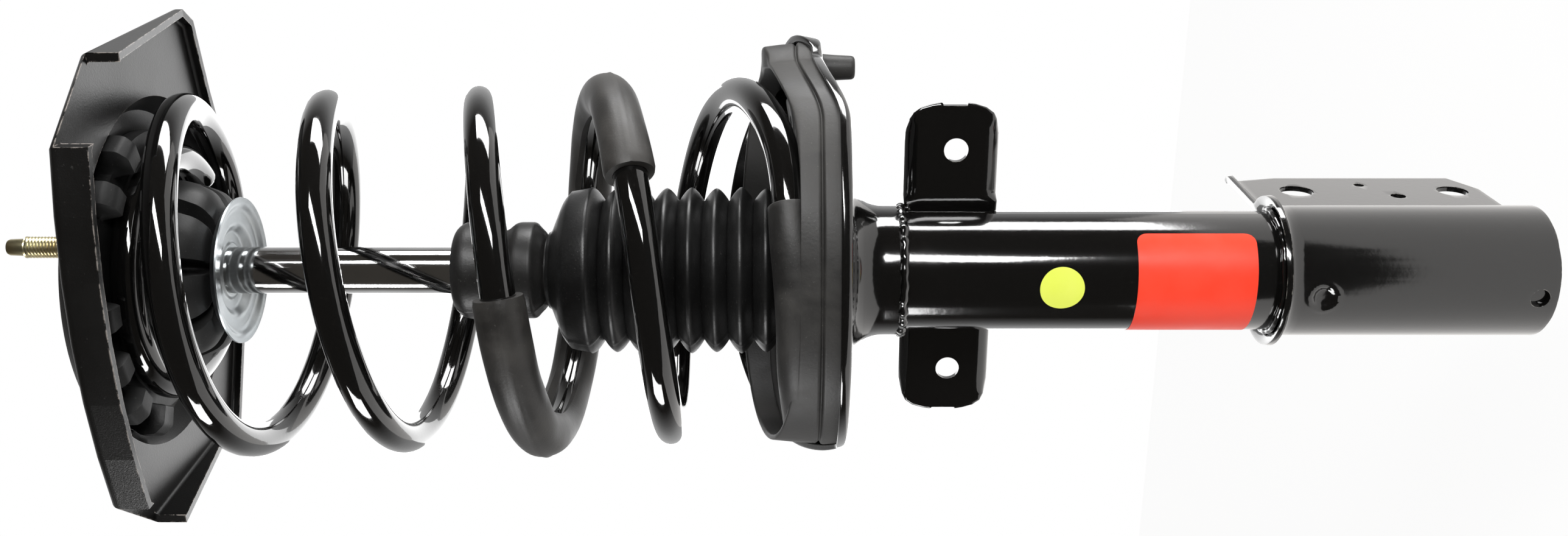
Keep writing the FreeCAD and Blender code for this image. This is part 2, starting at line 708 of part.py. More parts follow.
def tubes():
    tube = ring("strut_tube_form", "tube_radius", "tube_radius - tube_wall", "tube_top_depth", TUBE_END)
    keep(tube, "strut_tube")
    cap = cylinder("strike_cap_disc", "tube_radius + cap_wall", BUMPER_FOOT, "tube_top_depth + cap_skirt")
    inside = cylinder("strike_cap_inside", "tube_radius", "tube_top_depth", "tube_top_depth + cap_skirt")
    bore = cylinder("strike_cap_bore", "rod_radius + bumper_bore_gap", BUMPER_FOOT, "tube_top_depth")
    keep(cut("strike_cap_form", cap, inside, bore), "strike_cap")
    keep(ring("rod_seal_form", "seal_radius", "rod_radius + running_gap", "tube_top_depth",
              "tube_top_depth + seal_height"), "rod_seal")
    bush_top = "tube_top_depth + seal_height + bush_drop"
    bush_radius = "rod_radius + running_gap + bush_wall"
    guide = revolved("rod_guide_form", "tube_top_depth + guide_height + guide_spigot", [
        ("seal_radius", "tube_top_depth"),
        ("tube_radius - tube_wall", "tube_top_depth"),
        ("tube_radius - tube_wall", "tube_top_depth + guide_height"),
        ("piston_radius + running_gap", "tube_top_depth + guide_height"),
        ("piston_radius + running_gap", "tube_top_depth + guide_height + guide_spigot"),
        (bush_radius, "tube_top_depth + guide_height + guide_spigot"),
        (bush_radius, bush_top),
        (bush_radius, "tube_top_depth + seal_height"),
        ("seal_radius", "tube_top_depth + seal_height"),
    ])
    keep(guide, "rod_guide")
    bush_end = f"{bush_top} + bush_height"
    keep(ring("guide_bush_form", bush_radius, "rod_radius + running_gap", bush_top, bush_end), "guide_bush")
    cylinder_bore = "piston_radius + running_gap"
    keep(ring("pressure_tube_form", f"{cylinder_bore} + cylinder_wall", cylinder_bore, CYLINDER_TOP,
              f"{CYLINDER_END} - base_valve_height / 2"), "pressure_tube")
    valve = revolved("base_valve_form", CAP_TOP, [
        ("base_bolt_radius", VALVE_TOP),
        ("piston_radius + running_gap", VALVE_TOP),
        ("piston_radius + running_gap", f"{CYLINDER_END} - base_valve_height / 2"),
        ("piston_radius + running_gap + cylinder_wall", f"{CYLINDER_END} - base_valve_height / 2"),
        ("piston_radius + running_gap + cylinder_wall", CAP_TOP),
        ("piston_radius - 2 * band_wall", CAP_TOP),
        ("piston_radius - 2 * band_wall", CYLINDER_END),
        ("base_bolt_radius", CYLINDER_END),
    ])
    ports = [cylinder(f"base_port_{index}", "passage_radius", VALVE_TOP, CYLINDER_END,
                      f"passage_circle_radius * cos({index} * 360 / piston_passages)",
                      f"passage_circle_radius * sin({index} * 360 / piston_passages)")
             for index in range(int(number("piston_passages")))]
    gates = [box("base_gate_x", ("-tube_radius", "tube_radius"), ("-base_bolt_radius", "base_bolt_radius"),
                 CYLINDER_END, CAP_TOP),
             box("base_gate_y", ("-base_bolt_radius", "base_bolt_radius"), ("-tube_radius", "tube_radius"),
                 CYLINDER_END, CAP_TOP)]
    keep(cut("base_valve_cut", valve, *ports, *gates), "base_valve")
    plate_top = f"{VALVE_TOP} - disc_height"
    keep(ring("base_discs_form", "disc_radius", "base_bolt_radius", plate_top,
              VALVE_TOP), "base_valve_discs")
    shank = cylinder("base_bolt_shank", "base_bolt_radius", plate_top, f"{CYLINDER_END} + base_bolt_tail")
    head_top = f"{plate_top} - base_bolt_head_height"
    head = cylinder("base_bolt_head", "2 * base_bolt_radius", head_top, plate_top)
    keep(fuse("base_bolt_form", shank, head), "base_valve_bolt")
    keep(cylinder("base_cap_form", "tube_radius - tube_wall", CAP_TOP, TUBE_END), "base_cap")


# Coil spring

def blend(start, width, bearing):
    """Rise from 0 to 1 over a width of bearing, with level ends."""
    share = min(max((bearing - start) / width, 0.0), 1.0)
    return (1 - math.cos(math.pi * share)) / 2


def mixed(first, second, share):
    return first + (second - first) * share


def bump(turns, bearing):
    """Extra depth of some turns, given by their names in the sizes."""
    width = number(turns + "_blend")
    risen = blend(number(turns + "_start"), width, bearing) - blend(number(turns + "_end"), width, bearing)
    return number(turns + "_drop") * risen


def ramp(start, width, bearing):
    """Bearing climbed so far when the climb starts gently over a width."""
    past = min(max(bearing - start, 0.0), width)
    return past * past / (2 * width) + max(bearing - start - width, 0.0)


def wire_point(bearing):
    """Centre of the wire at a bearing, counted on through all turns."""
    lift = number("spring_lift_bearing")
    climb = number(SPRING_SEAT) - number(SPRING_TOP)
    per_degree = number("spring_pitch") / TURN
    close_blend = number("spring_close_blend")
    close = lift + number("spring_lift_blend") / 2 + climb / per_degree - close_blend / 2
    climbed = ramp(lift, number("spring_lift_blend"), bearing) - ramp(close, close_blend, bearing)
    risen = per_degree * climbed
    drop = bump("free_turn", bearing) + bump("mid_turn", bearing)
    past = bearing - number("lean_start_bearing")
    leaning = blend(number("lean_start_bearing"), number("lean_blend"), bearing)
    leaning *= 1 - blend(close, close_blend, bearing)
    lean = number("spring_lean") * 0.5 ** (past / number("lean_halving")) * leaning
    drop += lean * math.cos(math.radians(bearing - number("near_side_bearing")))
    depth = number(SPRING_SEAT) - risen + drop
    free = blend(number("seat_leave_bearing"), number("seat_leave_blend"), bearing)
    inward = blend(number("pigtail_start_bearing"), number("pigtail_turn_in"), bearing)
    radius = mixed(number("coil_radius"), number("free_coil_radius"), free)
    radius = mixed(radius, number("pigtail_radius"), inward)
    shift = mixed(number("low_turn_shift"), number("high_turn_shift"), risen / climb)
    shift = mixed(mixed(number("seat_shift"), shift, free), 0, inward)
    toward = math.radians(number("seat_bearing"))
    angle = math.radians(bearing)
    return FreeCAD.Vector(radius * math.cos(angle) + shift * math.cos(toward),
                          radius * math.sin(angle) + shift * math.sin(toward), -depth)


def wire_direction(bearing):
    step = 0.05
    return (wire_point(bearing + step) - wire_point(bearing - step)).normalize()


def arc_from(start, direction, end):
    """Arc that leaves a point along a direction and reaches another."""
    chord = end - start
    along = FreeCAD.Vector(chord).normalize()
    across = direction - along * direction.dot(along)
    half_turn = direction.getAngle(along) / 2
    middle = (start + end) * 0.5 + across.normalize() * (chord.Length / 2 * math.tan(half_turn))
    return Part.Arc(start, middle, end).toShape()


def wire_path(first, last):
    """Join quarter turns of the coil with pairs of tangent arcs."""
    count = math.ceil((last - first) / QUARTER)
    stops = [first + (last - first) * index / count for index in range(count + 1)]
    arcs = []
    for start, end in zip(stops, stops[1:]):
        here, there = wire_point(start), wire_point(end)
        leaving, arriving = wire_direction(start), wire_direction(end)
        gap = there - here
        turned = 2 * (1 - leaving.dot(arriving))
        slope = gap.dot(leaving + arriving)
        reach = (math.sqrt(slope * slope + turned * gap.dot(gap)) - slope) / turned
        joint = (here + leaving * reach + there - arriving * reach) * 0.5
        arcs.append(arc_from(here, leaving, joint))
        back = arc_from(there, arriving * -1, joint)
        back.reverse()
        arcs.append(back)
    return Part.Wire(arcs)


def tube_along(path, radius):
    """Sweep a round section along a path as one solid."""
    start = path.Edges[0]
    direction = start.tangentAt(start.FirstParameter)
    section = Part.Wire([Part.makeCircle(radius, start.valueAt(start.FirstParameter), direction)])
    shell = Part.BRepOffsetAPI.MakePipeShell(path)
    shell.add(section)
    shell.build()
    shell.makeSolid()
    return shell.shape()


def least_gap(path, radius):
    """Least distance between turns of the wire's surface, measured on points."""
    points = path.discretize(Distance=radius)
    apart = int(math.pi * number("pigtail_radius") / radius)
    nearest = min((points[i] - points[j]).Length for i in range(len(points))
                  for j in range(i + apart, len(points), 2))
    return nearest - 2 * radius


def feature(name, shape, label):
    thing = document.addObject("Part::Feature", name)
    thing.Shape = shape
    thing.Placement = FreeCAD.Placement()
    return keep(thing, label)


def spring():
    path = wire_path(number("spring_start_bearing"), number("spring_end_bearing"))
    print("least gap between turns", round(least_gap(path, number("wire_radius")), 2))
    feature("coil_spring_form", tube_along(path, number("wire_radius")), "coil_spring")
    over = wire_path(number("coil_sleeve_start"), number("coil_sleeve_end"))
    outside = tube_along(over, number("wire_radius") + number("coil_sleeve_wall"))
    inside = tube_along(over, number("wire_radius"))
    feature("coil_sleeve_form", outside.cut(inside), "coil_sleeve")


# Lower spring seat

SEAT_X = "(seat_shift * cos(seat_bearing))"
SEAT_Y = "(seat_shift * sin(seat_bearing))"


def tilted_trim(name, depth, tilt):
    """Large disc whose tilted lower face trims what stands above it."""
    trim = document.addObject("Part::Cylinder", name)
    bind(trim, Radius=f"3 * {PERCH_RADIUS}", Height=f"2 * {PERCH_RADIUS}")
    lean = FreeCAD.Vector(math.cos(math.radians(number("seat_bearing"))),
                          math.sin(math.radians(number("seat_bearing"))), 0)
    trim.Placement = FreeCAD.Placement(FreeCAD.Vector(), FreeCAD.Rotation(lean, number(tilt)))
    trim.setExpression("Placement.Rotation.Angle", formula(tilt))
    return place(trim, SEAT_X, SEAT_Y, f"-({depth})")


def seat_side(reach):
    """X and Y rules of a point out along the seat's bearing."""
    return f"(seat_shift + {reach}) * cos(seat_bearing)", f"(seat_shift + {reach}) * sin(seat_bearing)"


def lower_seat():
    floor_top = f"{PERCH_FLOOR} - perch_wall"
    rim_top = f"{PERCH_FLOOR} - perch_far_height"
    lobe_top = f"{PERCH_FLOOR} - lobe_height"
    lobe_x, lobe_y = seat_side("lobe_reach")
    nub_x, nub_y = seat_side("nub_reach")
    cup = fuse("perch_cup",
               cone("perch_outside", f"{PERCH_RADIUS} + perch_flare", PERCH_RADIUS, rim_top, PERCH_FLOOR,
                    SEAT_X, SEAT_Y),
               cylinder("perch_lobe_outside", "lobe_radius", lobe_top, PERCH_FLOOR, lobe_x, lobe_y))
    hollow = fuse("perch_hollow",
                  cone("perch_inside", f"{PERCH_RADIUS} + perch_flare - perch_wall",
                       f"{PERCH_RADIUS} - perch_wall", rim_top, floor_top, SEAT_X, SEAT_Y),
                  cylinder("perch_lobe_inside", "lobe_radius - perch_wall", lobe_top, floor_top,
                           lobe_x, lobe_y))
    rim = tilted_trim("perch_trim", f"{PERCH_FLOOR} - perch_rim_height", "perch_rim_tilt")
    skirt = fuse("perch_skirt", cut("perch_trimmed", cup, hollow, rim),
                 cylinder("perch_floor", PERCH_RADIUS, floor_top, PERCH_FLOOR, SEAT_X, SEAT_Y),
                 cylinder("perch_lobe_floor", "lobe_radius", floor_top, PERCH_FLOOR, lobe_x, lobe_y))
    inner_cone = cone("perch_cone_inside", "perch_cone_radius - perch_wall", "tube_radius",
                      floor_top, PERCH_CONE_END)
    keep(cut("perch_form", skirt, inner_cone,
             cylinder("perch_nub_hole", "nub_radius + nub_gap", rim_top, PERCH_CONE_END, nub_x, nub_y)),
         "lower_spring_perch")
    collar = fuse("perch_collar_solid",
                  cone("perch_cone", "perch_cone_radius", "perch_neck_radius", PERCH_FLOOR, PERCH_CONE_END),
                  cylinder("perch_neck", "perch_neck_radius", PERCH_CONE_END, PERCH_END))
    keep(cut("perch_collar_form", collar, inner_cone,
             cylinder("perch_tube_hole", "tube_radius", rim_top, PERCH_END)), "perch_collar")

    channel_floor = f"{floor_top} - seat_rubber_wall"
    solid = fuse("seat_rubber_solid",
                 cylinder("seat_rubber_disc", f"{PERCH_RADIUS} - perch_wall",
                          f"{PERCH_FLOOR} - seat_rubber_blank", floor_top, SEAT_X, SEAT_Y),
                 cylinder("seat_rubber_lobe", "lobe_radius - perch_wall", lobe_top, floor_top,
                          lobe_x, lobe_y))
    channel = ring("seat_channel", "coil_radius + wire_radius + channel_gap",
                   "coil_radius - wire_radius - channel_gap", rim_top, channel_floor, SEAT_X, SEAT_Y)
    ring_form = cut("seat_rubber_form", solid, channel,
                    tilted_trim("seat_rubber_trim", f"{PERCH_FLOOR} - seat_rubber_rim_height",
                                "seat_rubber_tilt"),
                    cylinder("seat_rubber_hole", "seat_rubber_inner", rim_top, floor_top, SEAT_X, SEAT_Y),
                    cylinder("seat_rubber_step", "coil_radius - wire_radius", rim_top,
                             f"{PERCH_FLOOR} - seat_rubber_step_height", SEAT_X, SEAT_Y))
    nub = cylinder("seat_nub", "nub_radius", floor_top, f"{floor_top} + nub_length", nub_x, nub_y)
    keep(fuse("seat_rubber_whole", ring_form, nub), "lower_spring_insulator")


# Jounce bumper and boot

def bumper_and_boot():
    bore = "rod_radius + bumper_bore_gap"
    ring_end = f"({BOOT_NECK} - bumper_ring_gap)"
    valley_depth = f"({ring_end} - bumper_ring_height - bumper_valley_height)"
    top = f"{valley_depth} - bumper_lobe_height"
    below = f"{BOOT_NECK} + boot_neck_height"
    keep(revolved("jounce_bumper_form", BUMPER_FOOT, [
        (bore, top),
        ("bumper_radius - bumper_edge", top),
        ("bumper_radius", f"{top} + bumper_edge"),
        ("bumper_radius", f"{valley_depth} - bumper_valley_height"),
        ("bumper_valley_radius", valley_depth),
        ("bumper_radius", f"{ring_end} - bumper_ring_height"),
        ("bumper_radius", ring_end),
        ("bumper_valley_radius", f"{BOOT_NECK} - bumper_neck_gap"),
        ("bumper_groove_radius", f"{BOOT_NECK} - bumper_neck_gap"),
        ("bumper_groove_radius", below),
        ("bumper_radius", f"{below} + bumper_edge"),
        ("bumper_radius", f"{below} + 4 * bumper_edge"),
        ("bumper_valley_radius", f"{below} + 4 * bumper_edge + bumper_valley_height"),
        ("bumper_radius", f"{below} + 4 * bumper_edge + 2 * bumper_valley_height"),
        ("bumper_radius", BUMPER_FOOT),
        (bore, BUMPER_FOOT),
    ]), "jounce_bumper")

    crest = number("boot_crest_radius")
    valley = number("boot_valley_radius")
    wall = number("boot_wall")
    ribs = int(number("boot_ribs"))
    neck = number(BOOT_NECK)
    lip = number("boot_lip")
    shoulder = (crest - number("boot_shoulder_inset"), neck + lip + number("boot_shoulder_drop"))
    first = neck + number("boot_first_crest_drop")
    end = number(f"{PERCH_FLOOR} - perch_wall - boot_seat_gap")
    last = end - number("boot_collar_height") - number("boot_collar_drop")
    rise = number("boot_crest_share")
    fall = number("boot_valley_share")
    pitch = (last - first) / (ribs - fall)
    throat = number("bumper_valley_radius")
    sections = [(throat, neck), (throat, neck + lip), shoulder]
    for index in range(ribs):
        middle = first + pitch * index
        sections += [(crest, middle - rise * pitch), (crest, middle + rise * pitch),
                     (valley, middle + fall * pitch), (valley, middle + (1 - fall) * pitch)]
    collar = number("tube_radius") + wall
    sections += [(collar, end - number("boot_collar_height")), (collar, end)]
    outside = Part.makeLoft([level_circle(radius, depth) for radius, depth in sections], True, True)
    hollow_sections = [(radius - wall, depth) for radius, depth in sections]
    hollow_sections[0] = (number("bumper_groove_radius"), neck - lip)
    hollow_sections[1] = (number("bumper_groove_radius"), neck + lip + wall)
    hollow_sections[2] = (shoulder[0] - wall, shoulder[1] + wall)
    hollow_sections[-1] = (number("tube_radius"), end + lip)
    inside = Part.makeLoft([level_circle(radius, depth) for radius, depth in hollow_sections], True, True)
    feature("dust_boot_form", outside.cut(inside), "dust_boot")


def level_circle(radius, depth):
    """Circle square to the strut's axis, starting on the X axis."""
    circle = Part.Circle(FreeCAD.Vector(0, 0, -depth), FreeCAD.Vector(0, 0, 1), radius)
    circle.XAxis = FreeCAD.Vector(1, 0, 0)
    return Part.Wire([circle.toShape()])


# Brackets

def link_bracket():
    """Saddle behind the tube with a holed tab on each side."""
    top = LINK_TOP
    bottom = LINK_END
    saddle = ring("link_saddle", "tube_radius + link_wall", "tube_radius", top, bottom)
    front = box("link_saddle_front", ("-2 * tube_radius", "2 * tube_radius"),
                ("-2 * tube_radius", "link_plane"), f"{top} - link_wall", f"{bottom} + link_wall")
    tabs = []
    for side, name in ((1, "upper"), (-1, "lower")):
        half_tip = "link_tip_width / 2"
        half_shoulder = "link_shoulder_width / 2"
        half_width = "link_width / 2"
        start = "tube_radius - 2 * link_wall"
        outline = [(start, half_width), ("link_reach - link_side_drop", half_width),
                   ("link_reach - link_shoulder_drop", half_shoulder), ("link_reach", half_tip)]
        right = [(across, f"-({up})") for across, up in reversed(outline)]
        points = [(f"{side} * ({across})", up) for across, up in outline + right]
        tab = padded(f"link_tab_{name}", "XZ_Plane", points, "link_wall")
        tab.Tip.Reversed = True
        place(tab, y="link_plane", z=f"-{LINK_DEPTH}")
        tabs.append(tab)
        across = sorted((f"{side} * link_flange_start", f"{side} * (link_reach - link_side_drop)"),
                        key=number)
        for edge, top_edge in (("top", top), ("bottom", f"{bottom} - link_wall")):
            tabs.append(box(f"link_flange_{name}_{edge}", across, ("link_plane", "link_plane + link_flange"),
                            top_edge, f"{top_edge} + link_wall"))
    saddle_half = cut("link_saddle_half", saddle, front)
    whole = fuse("link_bracket_whole", saddle_half, *tabs)
    holes = [link_hole(f"link_hole_{name}", f"{side} * link_hole_offset")
             for side, name in ((1, "upper"), (-1, "lower"))]
    keep(cut("link_bracket_form", whole, cylinder("link_tube_gap", "tube_radius", f"{top} - link_wall",
                                                    f"{bottom} + link_wall"), *holes), "link_bracket")


def link_hole(name, x):
    hole = bind(document.addObject("Part::Cylinder", name), Radius="link_hole_radius", Height="3 * link_wall")
    hole.Placement = FreeCAD.Placement(FreeCAD.Vector(), FreeCAD.Rotation(FreeCAD.Vector(1, 0, 0), -QUARTER))
    return place(hole, x, "link_plane - link_wall", f"-{LINK_DEPTH} - link_hole_drop")


def knuckle_bracket():
    """Sleeve that wraps the tube and ends in two ears with bolt holes."""
    top = KNUCKLE_TOP
    end = KNUCKLE_END
    outer = "ear_half_gap + knuckle_wall"
    wrap = cylinder("knuckle_wrap", "tube_radius + knuckle_wall", top, end)
    outline = [("0", top), ("ear_reach - ear_top_across", top), ("ear_reach", f"{top} + ear_top_along"),
               ("ear_reach", f"{end} - ear_corner_along"), ("ear_reach - ear_corner_across", end),
               ("0", end)]
    ears = padded("knuckle_ears", "YZ_Plane", [(across, f"({end}) - ({depth})") for across, depth in outline],
                  f"2 * ({outer})", midplane=True)
    place(ears, z=f"-({end})")
    lip_end = f"{top} + lip_wall"
    lip_wrap = cylinder("lip_wrap", "tube_radius + knuckle_wall + lip_reach", top, lip_end)
    lip_back = box("lip_back_trim", ("-3 * tube_radius", "3 * tube_radius"),
                   ("ear_half_gap", "2 * ear_reach"), top, lip_end)
    lip_ears = box("lip_ears", (f"-({outer}) - lip_reach", f"{outer} + lip_reach"), ("0", "lip_ear_reach"),
                   top, lip_end)
    whole = fuse("knuckle_whole", wrap, ears, cut("lip_front", lip_wrap, lip_back), lip_ears)
    bolts = [
        cross_pin("upper_bolt_bore", "upper_bolt_radius", (f"-2 * ({outer})", f"2 * ({outer})"), "bolt_reach",
                  f"{top} + upper_bolt_drop"),
        cross_pin("lower_bolt_bore", "lower_bolt_radius", (f"-2 * ({outer})", f"2 * ({outer})"), "bolt_reach",
                  f"{top} + upper_bolt_drop + bolt_spacing"),
        cross_pin("ear_small_hole", "ear_small_hole_radius", ("0", f"2 * ({outer})"), "ear_small_hole_reach",
                  f"{top} + ear_small_hole_drop"),
        cross_pin("ear_large_hole", "ear_large_hole_radius", ("0", f"2 * ({outer})"), "ear_large_hole_reach",
                  f"{top} + ear_large_hole_drop"),
    ]
    drain = side_pin("drain_hole", "drain_radius", "drain_bearing", f"{end} - drain_rise")
    keep(cut("knuckle_form", whole,
             cylinder("knuckle_bore", "tube_radius", top, end),
             box("ear_gap", ("-ear_half_gap", "ear_half_gap"), ("0", "2 * ear_reach"), top, end),
             drain, *bolts), "knuckle_bracket")


# Welds, label and sticker

def trim_pieces():
    torus = document.addObject("Part::Torus", "perch_bead_ring")
    bind(torus, Radius1="tube_radius + bead_radius / 2", Radius2="bead_radius")
    place(torus, z=f"-{PERCH_END} - bead_radius / 2")
    keep(cut("perch_weld_form", torus,
             cylinder("perch_bead_tube", "tube_radius", PERCH_CONE_END, LINK_END),
             cylinder("perch_bead_neck", "perch_neck_radius", PERCH_CONE_END, PERCH_END)),
         "perch_weld")
    lip_ring = bind(document.addObject("Part::Torus", "lip_bead_ring"),
                    Radius1="tube_radius + lip_bead_radius / 2", Radius2="lip_bead_radius",
                    Angle3="lip_bead_angle")
    place(lip_ring, z=f"lip_bead_radius / 2 - {KNUCKLE_TOP}", bearing="270 - lip_bead_angle / 2")
    keep(cut("bracket_weld_form", lip_ring,
             cylinder("lip_bead_tube", "tube_radius", LINK_END, KNUCKLE_END),
             cylinder("lip_bead_sleeve", "2 * tube_radius", KNUCKLE_TOP, KNUCKLE_END)),
         "bracket_weld")
    label_end = f"({KNUCKLE_TOP} - label_rise)"
    label = cylinder("label_skin", "tube_radius + label_gap + label_wall", f"{label_end} - label_height",
                     label_end, angle="label_angle", bearing="label_start_bearing")
    keep(cut("label_form", label, cylinder("label_tube", "tube_radius + label_gap", LINK_END, KNUCKLE_TOP)),
         "tube_label")
    punch = side_pin("sticker_punch", "sticker_radius", "sticker_bearing", f"{LINK_END} + sticker_drop")
    skin = ring("sticker_skin", "tube_radius + label_gap + label_wall", "tube_radius + label_gap", LINK_END,
                KNUCKLE_TOP)
    keep(common("round_sticker_form", skin, punch), "round_sticker")


mount_plate()
mount_studs()
rod_mount()
upper_insulator()
rod_and_piston()
tubes()
spring()
lower_seat()
bumper_and_boot()
link_bracket()
knuckle_bracket()
trim_pieces()
document.recompute()

faults = [thing.Name for thing in document.Objects if "Invalid" in thing.State or "Error" in thing.State]
for part in sub_parts:
    if part.Shape.isNull() or not part.Shape.isValid() or not part.Shape.Solids:
        faults.append(part.Label)
if faults:
    raise RuntimeError("failed: " + ", ".join(faults))
os.makedirs("parts", exist_ok=True)
for part in sub_parts:
    part.Shape.exportStep(f"parts/{part.Label}.step")
    print(part.Label, len(part.Shape.Solids), round(part.Shape.Volume / 1000, 2))
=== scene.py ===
import json
import math

import bpy
import numpy as np
from mathutils import Matrix, Vector, noise


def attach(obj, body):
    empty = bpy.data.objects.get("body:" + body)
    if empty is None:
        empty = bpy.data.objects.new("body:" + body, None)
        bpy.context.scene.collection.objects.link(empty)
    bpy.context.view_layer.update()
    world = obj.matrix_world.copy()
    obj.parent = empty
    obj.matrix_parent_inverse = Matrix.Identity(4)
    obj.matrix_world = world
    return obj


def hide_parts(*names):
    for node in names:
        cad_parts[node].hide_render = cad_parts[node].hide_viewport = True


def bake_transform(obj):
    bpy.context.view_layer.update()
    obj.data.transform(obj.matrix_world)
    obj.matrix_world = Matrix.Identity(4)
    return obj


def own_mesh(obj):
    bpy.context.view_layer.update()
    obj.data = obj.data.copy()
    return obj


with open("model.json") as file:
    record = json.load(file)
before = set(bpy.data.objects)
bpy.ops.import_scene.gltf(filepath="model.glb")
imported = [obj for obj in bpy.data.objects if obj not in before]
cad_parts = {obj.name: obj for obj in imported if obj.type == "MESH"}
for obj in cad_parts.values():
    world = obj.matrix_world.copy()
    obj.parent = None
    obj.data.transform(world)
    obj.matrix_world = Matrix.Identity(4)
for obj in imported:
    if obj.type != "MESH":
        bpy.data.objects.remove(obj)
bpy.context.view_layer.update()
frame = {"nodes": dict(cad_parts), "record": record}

MM = 0.001
TOP, LOW = "top_mount", "strut_body"
nodes = frame["nodes"]

# The photograph's axes: UP is up in the picture, AWAY points from the camera into it
TWIST = math.radians(20.5)
UP = Vector((math.cos(TWIST), math.sin(TWIST), 0))
AWAY = Vector((-math.sin(TWIST), math.cos(TWIST), 0))
MIDDLE = Vector((0, 0, -0.278))
CAMERA_BACK, CAMERA_RAISE, CAMERA_LENS = 0.640, 0.00092, 34.17


# Camera

def add_camera():
    data = bpy.data.cameras.new("photo_camera")
    data.sensor_width = 36
    data.lens = CAMERA_LENS
    data.clip_start = 0.01
    camera = bpy.data.objects.new("photo_camera", data)
    bpy.context.scene.collection.objects.link(camera)
    place = MIDDLE - CAMERA_BACK * AWAY + CAMERA_RAISE * UP
    right = Vector((0, 0, -1))
    camera.matrix_world = Matrix((
        (right.x, UP.x, -AWAY.x, place.x),
        (right.y, UP.y, -AWAY.y, place.y),
        (right.z, UP.z, -AWAY.z, place.z),
        (0, 0, 0, 1)))
    bpy.context.scene.camera = camera


# Node materials

class Nodes:
    """Short words for building one material's nodes."""

    def __init__(self, name):
        self.material = bpy.data.materials.new(name)
        self.material.use_nodes = True
        self.tree = self.material.node_tree
        self.tree.nodes.clear()
        self.output = self.tree.nodes.new("ShaderNodeOutputMaterial")
        self.shader = self.tree.nodes.new("ShaderNodeBsdfPrincipled")
        self.tree.links.new(self.shader.outputs[0], self.output.inputs["Surface"])
        self.place = self.add("ShaderNodeTexCoord").outputs["Object"]

    def add(self, kind, **values):
        node = self.tree.nodes.new(kind)
        for key, value in values.items():
            setattr(node, key, value)
        return node

    def put(self, socket, value):
        if isinstance(value, bpy.types.NodeSocket):
            self.tree.links.new(value, socket)
        elif isinstance(value, tuple) and len(value) == 3 and socket.type == "RGBA":
            socket.default_value = (*value, 1)
        else:
            socket.default_value = value

    def set(self, **values):
        names = {"colour": "Base Color", "rough": "Roughness", "metal": "Metallic", "coat": "Coat Weight",
                 "coat_rough": "Coat Roughness", "specular": "Specular IOR Level", "normal": "Normal"}
        for key, value in values.items():
            self.put(self.shader.inputs[names[key]], value)
        return self

    def stretched(self, scale):
        mapping = self.add("ShaderNodeMapping")
        self.put(mapping.inputs["Vector"], self.place)
        mapping.inputs["Scale"].default_value = scale
        return mapping.outputs[0]

    def noise(self, scale, detail=3, rough=0.5, at=None, distort=0.0):
        node = self.add("ShaderNodeTexNoise")
        self.put(node.inputs["Vector"], at or self.place)
        node.inputs["Scale"].default_value = scale
        node.inputs["Detail"].default_value = detail
        node.inputs["Roughness"].default_value = rough
        node.inputs["Distortion"].default_value = distort
        return node.outputs[0]

    def ramp(self, value, *stops):
        """Turn a value into a colour or a grey level through stops of (place, colour or level)."""
        node = self.add("ShaderNodeValToRGB")
        self.put(node.inputs[0], value)
        while len(node.color_ramp.elements) < len(stops):
            node.color_ramp.elements.new(0.5)
        for element, (where, colour) in zip(node.color_ramp.elements, stops):
            element.position = where
            element.color = (*colour, 1) if isinstance(colour, tuple) else (colour, colour, colour, 1)
        return node.outputs[0]

    def maths(self, operation, a, b=0.0, clamp=False):
        node = self.add("ShaderNodeMath", operation=operation, use_clamp=clamp)
        self.put(node.inputs[0], a)
        self.put(node.inputs[1], b)
        return node.outputs[0]

    def mix(self, share, a, b):
        node = self.add("ShaderNodeMix", data_type="RGBA")
        self.put(node.inputs[0], share)
        self.put(node.inputs[6], a)
        self.put(node.inputs[7], b)
        return node.outputs[2]

    def bump(self, height, distance):
        node = self.add("ShaderNodeBump")
        node.inputs["Strength"].default_value = 1.0
        node.inputs["Distance"].default_value = distance
        self.put(node.inputs["Height"], height)
        return node.outputs[0]

    def weighed(self, first, first_share, second, second_share):
        """Sum of two values, each times its own share."""
        one = self.maths("MULTIPLY", first, first_share)
        other = self.maths("MULTIPLY", second, second_share)
        return self.maths("ADD", one, other)

    def edges(self, radius):
        """Mask that is 1 along outer edges, from how far the surface turns within a radius."""
        bevel = self.add("ShaderNodeBevel", samples=4)
        bevel.inputs["Radius"].default_value = radius
        flat = self.add("ShaderNodeNewGeometry")
        dot = self.add("ShaderNodeVectorMath", operation="DOT_PRODUCT")
        self.put(dot.inputs[0], bevel.outputs[0])
        self.put(dot.inputs[1], flat.outputs["True Normal"])
        return self.maths("SUBTRACT", 1.0, dot.outputs["Value"], clamp=True)


